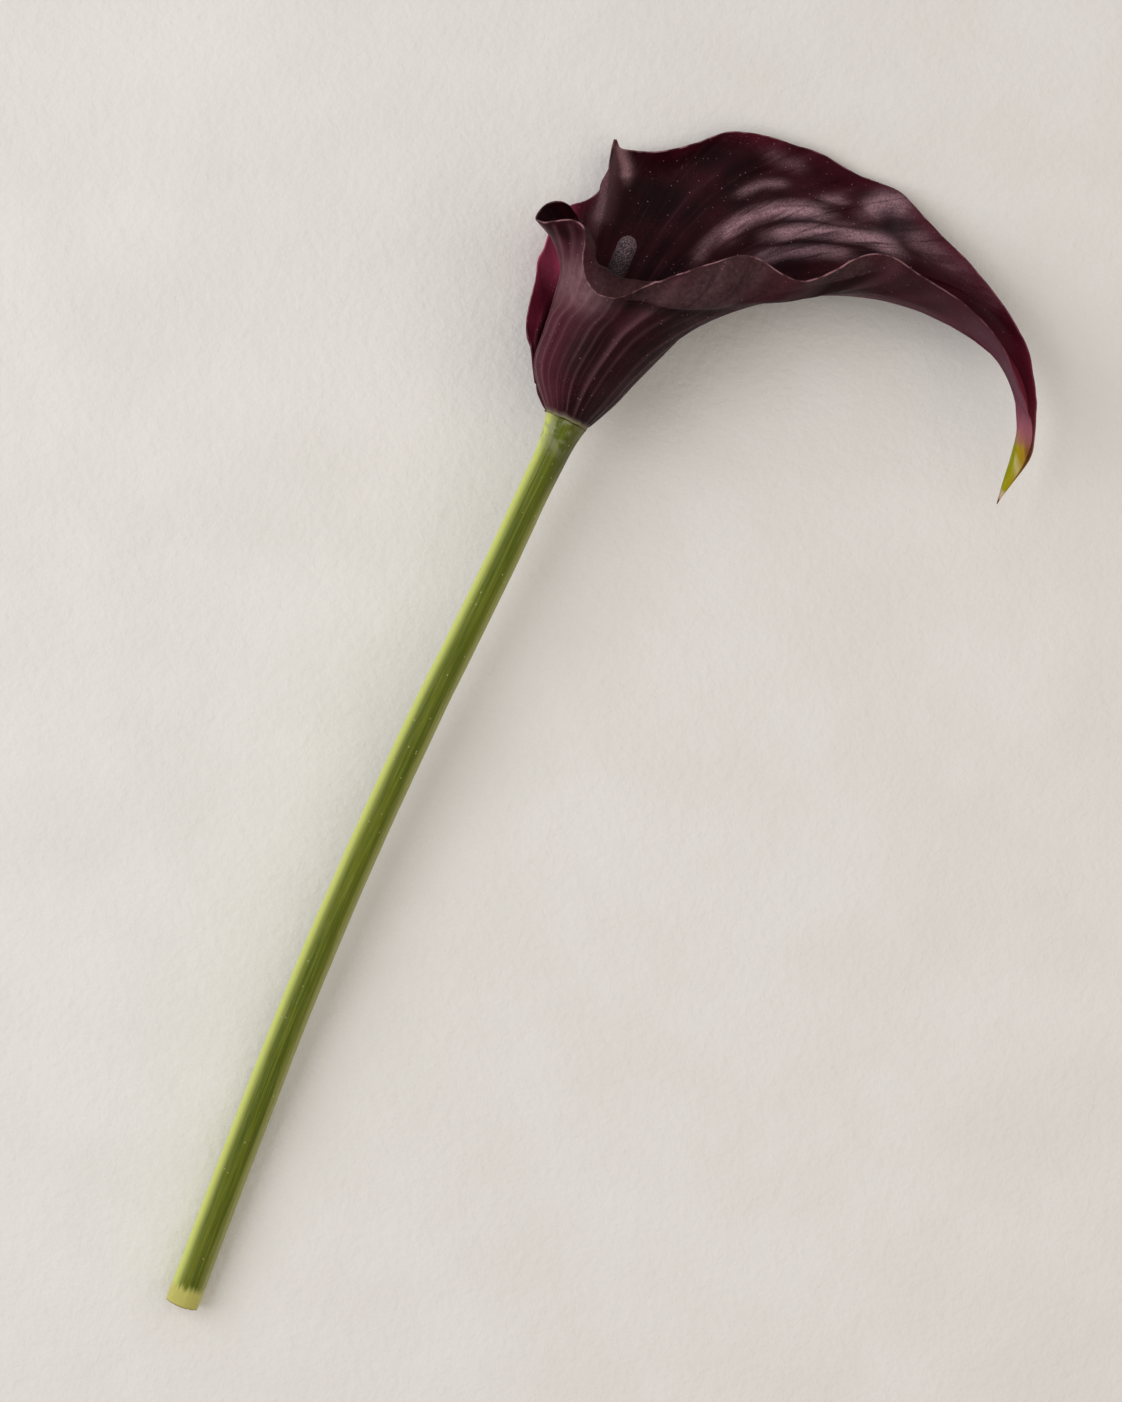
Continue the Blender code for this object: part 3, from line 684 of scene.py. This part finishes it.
def make_stem():
    knots = np.arange(len(STEM), dtype=float)
    fine = np.linspace(0, len(STEM) - 1, 2000)
    line = through(knots, [centre for centre, _ in STEM], fine)
    width = through(knots, [[radius] for _, radius in STEM], fine)[:, 0]
    run = run_along(line)
    whole = run[-1]
    cut = len(CUT_RINGS)
    ends = len(STEM_END_STATIONS)
    stations = np.concatenate([np.zeros(cut), STEM_END_STATIONS,
                               np.linspace(STEM_BODY_FROM, whole, STEM_BODY_RINGS)])
    shares = np.concatenate([CUT_RINGS, np.ones(len(stations) - cut)])
    centres = np.stack([np.interp(stations, run, line[:, axis]) for axis in range(3)], axis=1)
    radii = np.interp(stations, run, width)
    radii[cut:cut + ends] -= np.array(STEM_END_ROUNDING)
    radii[:cut] = radii[cut] * shares[:cut]
    turn = full_turn(STEM_AROUND)
    flute = sum(height * np.cos(count * turn + shift) for count, shift, height in STEM_FLUTES)[:, None]
    bumps = wave_noise(stations / 14.0, 21)[None, :] * 0.05 + wave_noise(turn * 3.0, 22)[:, None] * 0.03
    radius = radii[None, :] + (flute + bumps) * smoothstep(stations / 3.0)[None, :]
    # the line's direction is taken from rings that are apart, so the cut face stays flat
    axis = centres[cut + ends - 1] - centres[cut]
    apart = np.concatenate([centres[:1] - axis * (1 - shares[:cut, None]), centres[cut:]])
    points, out = rod_grid(apart, radius, STEM_AROUND)
    points[:, :cut] += (centres[:cut] - apart[:cut])[None]
    for centre, size in STEM_PLUG:
        ring = np.array(centre) + out[:, -1] * size
        points = np.concatenate([points, ring[:, None]], axis=1)
    stations = np.concatenate([stations, whole + np.array(STEM_PLUG_PAST)])
    shares = np.concatenate([shares, np.ones(len(STEM_PLUG))])
    # the cut face is slightly hollow, with an uneven rim and fibres
    near_cut = shares ** 3 * np.exp(-stations / 0.4)
    uneven = wave_noise(turn * 4.0, 23)[:, None] * CUT_RAGGED * near_cut[None, :]
    fibres = wave_noise(turn[:, None] * 6.0 + shares[None, :] * 40.0, 24) * CUT_FIBRES * (shares < 1)[None, :]
    inward = uneven + fibres + CUT_HOLLOW * (1 - shares ** 2)[None, :]
    points = points + axis / np.linalg.norm(axis) * inward[..., None]
    stem = add_rod("stem_green", points, {
        "along": stations[None, :],
        "side_x": np.cos(turn)[:, None],
        "side_z": np.sin(turn)[:, None],
        "from_top": (whole - stations)[None, :],
        "cut": (1 - shares)[None, :],
    })
    stem.data.materials.append(stem_material())
    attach(stem, "root")
    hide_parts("stem")


def grain_ring(run, ring, turn):
    """Height (0..1) and tone about one ring of the spadix, in staggered rows of round grains."""
    bump = np.zeros(len(turn))
    shade = np.zeros(len(turn))
    row = int(run / GRAIN_ROW)
    for near in range(max(row - 1, 0), row + 3):
        count = max(6, int(2 * math.pi * ring / GRAIN))
        draw = np.random.default_rng(GRAIN_SEED + near)
        shifts = draw.uniform(-0.22, 0.22, (count, 2)) * GRAIN
        sizes = draw.uniform(0.40, 0.56, count) * GRAIN
        tones = draw.uniform(0, 1, count)
        base = (np.arange(count) + 0.5 * (near % 2)) / count * 2 * math.pi
        gap = (turn[:, None] - base[None, :] + math.pi) % (2 * math.pi) - math.pi
        across = gap * ring - shifts[None, :, 0]
        up = run - near * GRAIN_ROW - shifts[None, :, 1]
        height = 1 - (across ** 2 + up ** 2) / sizes[None, :] ** 2
        best = np.argmax(height, axis=1)
        lift = np.sqrt(np.clip(height.max(axis=1), 0, 1))
        better = lift > bump
        bump[better] = lift[better]
        shade[better] = tones[best[better]]
    return bump, shade


def make_spadix():
    knots = run_along(np.array(SPADIX))
    whole = knots[-1]
    body = np.linspace(0, whole - SPADIX_DOME, SPADIX_BODY_RINGS)
    dome = np.linspace(0, SPADIX_DOME_END, SPADIX_DOME_RINGS + 1)[1:]
    at = np.concatenate([body, body[-1] + SPADIX_DOME * np.sin(dome)])
    widening = (SPADIX_RADIUS - SPADIX_FOOT_RADIUS) * smoothstep(body / (0.3 * whole))
    radii = np.concatenate([SPADIX_FOOT_RADIUS + widening, SPADIX_RADIUS * np.cos(dome)]) - GRAIN_HEIGHT
    surface_run = np.concatenate([body, body[-1] + SPADIX_DOME * dome])
    turn = full_turn(SPADIX_AROUND)
    rings = [grain_ring(run, max(radius, 0.25), turn) for run, radius in zip(surface_run, radii)]
    bump, shade = (np.stack(values, axis=1) for values in zip(*rings))
    points, _ = rod_grid(through(knots, SPADIX, at), radii[None, :] + GRAIN_HEIGHT * bump, SPADIX_AROUND)
    spadix = add_rod("spadix_grains", points, {
        "grain": bump, "tone": shade, "along": surface_run[None, :]})
    spadix.data.materials.append(spadix_material())
    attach(spadix, "root")
    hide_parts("spadix")


# -------------------- materials
# Colours are 8-bit sRGB, noise scales are per metre, and bump distances are in metres.
def srgb(r, g, b):
    def line(c):
        c /= 255.0
        return c / 12.92 if c <= 0.04045 else ((c + 0.055) / 1.055) ** 2.4
    return (line(r), line(g), line(b), 1.0)


class Nodes:
    """A short way to write node trees."""

    def __init__(self, name):
        self.material = bpy.data.materials.new(name)
        self.material.use_nodes = True
        self.tree = self.material.node_tree
        self.shader = self.tree.nodes["Principled BSDF"]
        self.place = self.node("ShaderNodeTexCoord").outputs["Object"]

    def node(self, kind, inputs=None, **settings):
        made = self.tree.nodes.new(kind)
        for key, value in settings.items():
            setattr(made, key, value)
        for key, value in (inputs or {}).items():
            self.put(made.inputs[key], value)
        return made

    def put(self, socket, value):
        if isinstance(value, bpy.types.NodeSocket):
            self.tree.links.new(value, socket)
        else:
            socket.default_value = value

    def shade(self, **values):
        """Sets inputs of the shader: base_color=... sets the one named Base Color."""
        names = {socket.name.lower().replace(" ", "_"): socket for socket in self.shader.inputs}
        for key, value in values.items():
            self.put(names[key], value)

    def attribute(self, name):
        return self.node("ShaderNodeAttribute", attribute_name=name).outputs["Fac"]

    def math(self, operation, a, b=0.0, clamp=False):
        return self.node("ShaderNodeMath", {0: a, 1: b}, operation=operation, use_clamp=clamp).outputs[0]

    def times(self, a, b, clamp=False):
        return self.math("MULTIPLY", a, b, clamp)

    def shaken(self, value, noise, reach):
        """The value, moved up or down by noise, `reach` from the least to the most."""
        return self.math("ADD", value, self.times(self.math("SUBTRACT", noise, 0.5), reach))

    def span(self, value, low, high, to_low=0.0, to_high=1.0, kind="SMOOTHSTEP"):
        inputs = {"Value": value, "From Min": low, "From Max": high, "To Min": to_low, "To Max": to_high}
        return self.node("ShaderNodeMapRange", inputs, interpolation_type=kind).outputs["Result"]

    def mix(self, share, a, b):
        """From a to b, each of them a socket or an 8-bit colour."""
        a, b = (srgb(*value) if isinstance(value, tuple) else value for value in (a, b))
        return self.node("ShaderNodeMix", {0: share, 6: a, 7: b}, data_type="RGBA").outputs[2]

    def join(self, x, y, z):
        return self.node("ShaderNodeCombineXYZ", {0: x, 1: y, 2: z}).outputs[0]

    def noise(self, vector, scale, detail=2.0, rough=0.5):
        inputs = {"Vector": vector, "Scale": scale, "Detail": detail, "Roughness": rough}
        return self.node("ShaderNodeTexNoise", inputs).outputs["Fac"]

    def cloud(self, scale, detail=2.0, rough=0.5):
        return self.noise(self.place, scale, detail, rough)

    def cells(self, scale):
        """Distance to the nearest cell's middle, and two random numbers that each cell has."""
        made = self.node("ShaderNodeTexVoronoi", {"Vector": self.place, "Scale": scale})
        split = self.node("ShaderNodeSeparateColor", {0: made.outputs["Color"]})
        return made.outputs["Distance"], split.outputs[0], split.outputs[1]

    def bump(self, height, strength, distance, below=None):
        inputs = {"Height": height, "Strength": strength, "Distance": distance}
        if below is not None:
            inputs["Normal"] = below
        return self.node("ShaderNodeBump", inputs).outputs["Normal"]


def spathe_outer_face(n, rib, blotch, fine, sparkle):
    """Dark maroon between the ribs, mauve along them, with dusty grey patches, and painted light and shade on
    the tube.
    """
    lit = n.attribute("lit")
    colour = n.mix(n.span(blotch, 0.35, 0.68), (30, 5, 9), (50, 12, 20))
    # painted light: the side of the tube facing the lamp is lighter mauve with paler ribs; painted shade
    # makes its far side close to black
    light_side = n.times(n.span(lit, 0.15, 0.9, 0.0, 0.62), n.span(rib, 0.0, 0.5, 0.75, 1.0))
    colour = n.mix(light_side, colour, (100, 36, 54))
    colour = n.mix(n.span(lit, -0.75, 0.05, 0.70, 0.0), colour, (30, 10, 13))
    rib_line = n.times(n.math("POWER", rib, 1.8), n.span(lit, -0.8, 0.4, 0.35, 0.75))
    colour = n.mix(rib_line, colour, (134, 92, 102))
    # the pale patch under the ear
    neck = n.times(n.span(n.attribute("neck"), 0.1, 0.9),
                   n.span(n.cloud(500.0, 4.0), 0.2, 0.7, 0.45, 1.0))
    colour = n.mix(n.times(neck, 0.45), colour, (156, 120, 124))
    dusty = n.times(n.span(n.cloud(42.0, 4.0), 0.45, 0.68, 0.0, 0.28), n.span(sparkle, 0.3, 0.7))
    colour = n.mix(dusty, colour, (104, 74, 80))
    # the front wall's shoulder is greyer, and painted shade darkens the crease under it
    wall = n.mix(n.span(fine, 0.3, 0.7), (68, 44, 47), (88, 63, 65))
    colour = n.mix(n.times(n.attribute("shoulder"), n.span(blotch, 0.36, 0.64, 0.62, 0.25)), colour, wall)
    return n.mix(n.times(n.attribute("crease_shade"), 0.75), colour, (26, 8, 11))


def spathe_inner_face(n, rib, blotch, fine):
    """Very dark wine, a little redder in patches, brighter on the flap and browner on the lip."""
    colour = n.mix(n.span(blotch, 0.35, 0.68), (22, 2, 6), (48, 7, 15))
    colour = n.mix(n.times(rib, 0.26), colour, (78, 32, 44))
    flap = n.mix(n.span(blotch, 0.3, 0.7), (78, 18, 34), (122, 38, 62))
    colour = n.mix(n.times(n.attribute("flap"), 0.8), colour, flap)
    lip = n.mix(n.span(fine, 0.3, 0.7), (50, 30, 31), (64, 44, 44))
    return n.mix(n.times(n.attribute("lip"), 0.75), colour, lip)


def spathe_sheen(n, colour, grooves, phase, along, sparkle):
    """Painted sheen on the inner face, broken up by grooves and a fine sparkle, and a painted highlight on
    the left folds.
    """
    veins = n.noise(n.join(n.times(phase, 4.5), n.times(along, 0.05), 9.0), 1.0, 3.0, 0.7)
    sheen = n.times(n.attribute("sheen_bands"), n.span(grooves, 0.36, 0.48, 0.45, 1.0))
    sheen = n.times(sheen, n.span(veins, 0.34, 0.50, 0.40, 1.0))
    sheen = n.times(sheen, n.span(sparkle, 0.25, 0.75, 0.45, 1.15), clamp=True)
    # painted sheen in pale pinkish grey
    colour = n.mix(sheen, colour, (178, 138, 148))
    # painted highlight on the left fold, pale mauve grey
    fold_sheen_share = n.times(n.attribute("fold_sheen"), n.span(sparkle, 0.25, 0.75, 0.6, 1.2), clamp=True)
    return n.mix(fold_sheen_share, colour, (196, 150, 158))


def spathe_specks(n, colour, rib):
    """Small pale specks, thickest along the ribs, and a finer dust."""
    spot, chance, tone = n.cells(1000.0)
    chosen = n.math("GREATER_THAN", chance, n.span(rib, 0.0, 0.6, 0.88, 0.55))
    specks = n.times(n.span(spot, 0.08, 0.20, 1.0, 0.0), chosen)
    colour = n.mix(n.times(specks, n.span(tone, 0.0, 1.0, 0.15, 0.7, "LINEAR")), colour, (170, 130, 136))
    dust = n.times(n.span(n.cloud(3000.0, 2.0, 0.8), 0.60, 0.76, 0.0, 0.45),
                   n.span(n.cloud(120.0), 0.40, 0.62))
    return n.mix(dust, colour, (132, 94, 104))


def spathe_borders(n, colour, along):
    """Painted glow of light through the margin, magenta where it thins, a painted highlight as a pale line at
    its very edge, and green at the collar.
    """
    edge = n.attribute("edge")
    # painted light: a magenta glow where light comes through the thin margin
    backlight_glow = n.times(n.span(edge, 0.4, 6.0, 0.34, 0.0), n.span(n.cloud(90.0), 0.35, 0.65, 0.3, 1.0))
    colour = n.mix(n.times(backlight_glow, n.attribute("thin")), colour, (110, 30, 52))
    # painted highlight: a pale broken line along the very edge of the margin
    edge_sheen = n.span(n.cloud(260.0, 3.0), 0.42, 0.62, 0.05, 1.0)
    colour = n.mix(n.times(n.span(edge, 0.05, 0.36, 0.75, 0.0), edge_sheen), colour, (170, 122, 128))
    ragged = n.shaken(along, n.cloud(700.0), 1.6)
    colour = n.mix(n.span(ragged, 0.2, 2.2, 0.60, 0.0), colour, (140, 122, 110))
    return n.mix(n.span(ragged, 0.0, 0.8, 0.80, 0.0), colour, (124, 124, 80))


def spathe_tip(n, colour, outside):
    """The horn's end: wine, then mauve, then yellow green with a pale midrib, then a dry brown point."""
    to_point = n.attribute("to_point")
    edge = n.attribute("edge")
    horn = n.times(n.span(to_point, 25.0, 80.0, 0.85, 0.0), n.span(edge, 1.0, 14.0, 1.0, 0.35))
    colour = n.mix(horn, colour, n.mix(outside, (104, 28, 50), (52, 22, 28)))
    inside = n.math("SUBTRACT", 1.0, outside)
    colour = n.mix(n.times(n.span(to_point, 20.0, 50.0, 0.6, 0.0), inside), colour, (156, 58, 78))
    colour = n.mix(n.times(n.span(to_point, 20.0, 62.0, 0.75, 0.0), outside), colour, (112, 62, 80))
    patch = n.shaken(to_point, n.cloud(180.0), 5.0)
    colour = n.mix(n.span(patch, 15.0, 29.0, 0.88, 0.0), colour, (168, 98, 110))
    side = n.shaken(n.attribute("across"), n.cloud(300.0), 1.2)
    green = n.mix(n.span(side, -0.6, 0.7), (150, 146, 2), (170, 134, 22))
    streaks = n.noise(n.join(side, n.times(to_point, 0.12), 0.0), 2.6, 3.0)
    green = n.mix(n.span(streaks, 0.48, 0.7, 0.0, 0.35), green, (190, 168, 60))
    green = n.mix(n.span(side, 1.1, 2.2, 0.0, 0.8), green, (126, 66, 52))
    colour = n.mix(n.span(patch, 14.5, 19.0, 1.0, 0.0), colour, green)
    midrib = n.times(n.attribute("midrib"), n.span(to_point, 9.0, 20.0, 0.6, 0.0))
    colour = n.mix(midrib, colour, (214, 204, 150))
    colour = n.mix(n.span(patch, 2.6, 4.2, 0.9, 0.0), colour, (196, 170, 140))
    return n.mix(n.span(to_point, 0.9, 2.2, 1.0, 0.0), colour, (120, 44, 38))


def spathe_material():
    n = Nodes("spathe_tissue")
    rib = n.attribute("rib")
    along = n.attribute("along")
    outside = n.attribute("outside")
    phase = n.attribute("phase")
    blotch = n.cloud(60.0, 3.0)
    fine = n.cloud(900.0)
    sparkle = n.cloud(2200.0, 2.0, 0.7)
    colour = n.mix(outside, spathe_inner_face(n, rib, blotch, fine),
                   spathe_outer_face(n, rib, blotch, fine, sparkle))
    # painted light: a pink glow over the top of the flap
    colour = n.mix(n.times(n.attribute("flap_top"), 0.8), colour, (206, 84, 118))
    # lengthwise streaks finer than the ribs
    streaks = n.noise(n.join(n.times(phase, 4.2), n.times(along, 0.035), 0.0), 1.0, 3.0)
    colour = n.mix(n.span(streaks, 0.54, 0.74, 0.0, 0.14), colour, (104, 62, 74))
    colour = n.mix(n.span(streaks, 0.30, 0.46, 0.36, 0.0), colour, (20, 5, 9))
    grooves = n.noise(n.join(n.times(phase, 1.4), n.times(along, 0.03), 4.0), 1.0, 4.0, 0.6)
    # painted sheen, and a painted highlight on the left folds
    colour = spathe_sheen(n, colour, grooves, phase, along, sparkle)
    colour = spathe_specks(n, colour, rib)
    colour = spathe_borders(n, colour, along)
    colour = spathe_tip(n, colour, outside)

    grain = n.bump(n.cells(2600.0)[0], 0.30, 0.00010)
    lines = n.bump(n.math("ADD", n.times(streaks, 0.6), n.times(grooves, 0.8)), 0.5, 0.0004, grain)
    n.shade(base_color=colour, roughness=n.span(n.cloud(220.0, 3.0), 0.3, 0.7, 0.42, 0.58),
            specular_ior_level=0.08, normal=n.bump(fine, 0.30, 0.00015, lines))
    return n.material


def stem_material():
    n = Nodes("stem_tissue")
    along = n.attribute("along")
    from_top = n.attribute("from_top")
    side_x = n.attribute("side_x")
    side_z = n.attribute("side_z")

    def around(turns, lengthwise):
        """A place for noise that is `turns` fine about the stem and stretched along it."""
        return n.join(n.times(side_x, turns), n.times(side_z, turns), n.times(along, lengthwise))

    ring = around(4.0, 0.022)
    streak = n.noise(ring, 1.6, 4.0, 0.6)
    thread = n.noise(around(14.0, 0.05), 1.5, 2.0)
    colour = n.mix(n.span(streak, 0.32, 0.66), (72, 84, 0), (104, 112, 8))
    # painted light on both flanks, fine threads, painted light on the left side, and painted shade on the
    # right under the collar
    flank_light = n.times(n.math("ABSOLUTE", side_x), n.math("ABSOLUTE", side_x))
    flank_light = n.math("ADD", flank_light, n.times(streak, 0.25))
    colour = n.mix(n.span(flank_light, 0.35, 1.0, 0.0, 0.85), colour, (166, 166, 98))
    colour = n.mix(n.span(thread, 0.55, 0.72, 0.0, 0.35), colour, (158, 162, 84))
    colour = n.mix(n.span(thread, 0.30, 0.44, 0.35, 0.0), colour, (70, 80, 6))
    colour = n.mix(n.span(side_x, -1.0, -0.25, 0.90, 0.0), colour, (218, 226, 122))
    shaded = n.times(n.span(side_x, 0.1, 0.9), n.span(from_top, 8.0, 24.0, 0.8, 0.0))
    colour = n.mix(shaded, colour, (66, 68, 26))
    # pale specks
    spot, chance, _ = n.cells(900.0)
    specks = n.times(n.span(spot, 0.10, 0.22, 1.0, 0.0), n.math("GREATER_THAN", chance, 0.90))
    colour = n.mix(n.times(specks, 0.6), colour, (200, 202, 140))
    # frosty grey green under the collar, fainter on the right side, which is painted in shade
    frost = n.times(n.span(from_top, 2.0, 13.0, 0.75, 0.0), n.span(n.cloud(420.0, 3.0), 0.38, 0.62))
    frost = n.times(frost, n.span(side_x, 0.1, 0.8, 1.0, 0.25))
    colour = n.mix(frost, colour, (150, 152, 116))
    colour = n.mix(n.span(from_top, 0.4, 2.2, 0.20, 0.0), colour, (110, 92, 70))
    # dried cream zone at the cut, with an uneven border, cracks and a brown edge
    dried = n.shaken(along, n.noise(ring, 2.4, 4.0, 0.65), 5.0)
    colour = n.mix(n.span(dried, 3.6, 6.0, 0.85, 0.0), colour, (202, 194, 106))
    cracks = n.span(n.noise(around(9.0, 0.25), 2.0, 3.0), 0.60, 0.68)
    colour = n.mix(n.times(cracks, n.span(along, 0.0, 4.5, 0.6, 0.0)), colour, (120, 96, 40))
    colour = n.mix(n.span(along, 0.05, 0.5, 0.8, 0.0), colour, (136, 100, 62))
    # the cut face: pale pith dotted with darker bundles
    bundle = n.cells(1500.0)[0]
    pith = n.mix(n.cloud(800.0, 3.0), (176, 164, 96), (206, 196, 138))
    pith = n.mix(n.span(bundle, 0.16, 0.34, 0.75, 0.0), pith, (132, 104, 52))
    colour = n.mix(n.span(n.attribute("cut"), 0.02, 0.16), colour, pith)

    lines = n.bump(n.math("ADD", n.times(streak, 0.6), n.times(thread, 0.4)), 0.5, 0.0004)
    n.shade(base_color=colour, roughness=n.span(n.cloud(300.0), 0.3, 0.7, 0.36, 0.52),
            specular_ior_level=0.2, subsurface_weight=0.12, subsurface_radius=(0.6, 0.8, 0.2),
            subsurface_scale=0.002, normal=n.bump(n.cloud(1400.0), 0.25, 0.0001, lines))
    return n.material


def spadix_material():
    n = Nodes("spadix_tissue")
    grains = n.mix(n.attribute("tone"), (84, 58, 68), (158, 128, 138))
    colour = n.mix(n.span(n.attribute("grain"), 0.1, 0.9), (26, 12, 18), grains)
    # painted shade: darker towards the foot, deep in the funnel
    colour = n.mix(n.span(n.attribute("along"), 31.0, 45.0, 0.90, 0.0), colour, (46, 28, 36))
    n.shade(base_color=colour, roughness=0.62, normal=n.bump(n.cloud(4000.0), 0.3, 0.00008))
    return n.material


def paper_material():
    n = Nodes("paper")
    mottle = n.cloud(26.0, 4.0, 0.55)
    colour = n.mix(n.span(mottle, 0.3, 0.7), (236, 232, 227), (241, 237, 233))
    tooth = n.cloud(420.0, 4.0, 0.6)
    height = n.math("ADD", n.times(tooth, 0.7), n.times(n.cloud(130.0, 3.0), 0.6))
    n.shade(base_color=colour, roughness=0.9, specular_ior_level=0.15, normal=n.bump(height, 0.62, 0.0009))
    return n.material


# -------------------- camera, light, floor
def make_view():
    camera = bpy.data.cameras.new("camera")
    camera.sensor_width = SENSOR_WIDTH
    camera.lens = SENSOR_WIDTH * VIEW_HEIGHT / VIEW_FIELD
    camera.clip_start = 0.01
    camera.clip_end = 20.0
    holder = bpy.data.objects.new("camera", camera)
    holder.location = (VIEW_CENTRE[0] * MM, VIEW_CENTRE[1] * MM, VIEW_HEIGHT * MM)
    holder.rotation_euler = (0.0, 0.0, VIEW_ROLL)
    bpy.context.scene.collection.objects.link(holder)
    bpy.context.scene.camera = holder


def add_lamp(name, bearing, elevation, size, power, colour):
    """A square area lamp that faces the middle of the view, its bearing counted from the picture's right."""
    lamp = bpy.data.lights.new(name, "AREA")
    lamp.shape = "SQUARE"
    lamp.size = size
    lamp.energy = power
    lamp.color = colour
    holder = bpy.data.objects.new(name, lamp)
    turned = math.radians(bearing) + VIEW_ROLL
    raised = math.radians(elevation)
    towards = Vector((math.cos(turned) * math.cos(raised), math.sin(turned) * math.cos(raised),
                      math.sin(raised)))
    holder.location = Vector((VIEW_CENTRE[0] * MM, VIEW_CENTRE[1] * MM, 0.0)) + towards * LAMP_DISTANCE_M
    holder.rotation_euler = towards.to_track_quat("Z", "Y").to_euler()
    bpy.context.scene.collection.objects.link(holder)


def make_light():
    world = bpy.data.worlds.new("studio")
    world.use_nodes = True
    background = world.node_tree.nodes["Background"]
    background.inputs[0].default_value = FILL_COLOUR
    background.inputs[1].default_value = FILL_STRENGTH
    bpy.context.scene.world = world
    for lamp in LAMPS:
        add_lamp(*lamp)


def make_floor():
    bpy.ops.mesh.primitive_plane_add(size=FLOOR_SIZE_M, location=(0.0, 0.0, -FLOOR_DROP_M))
    floor = bpy.context.object
    floor.name = "paper_floor"
    floor.data.materials.append(paper_material())


def main():
    bpy.context.scene.view_settings.view_transform = "Standard"
    make_view()
    make_light()
    make_floor()
    make_spathe()
    make_spadix()
    make_stem()


main()
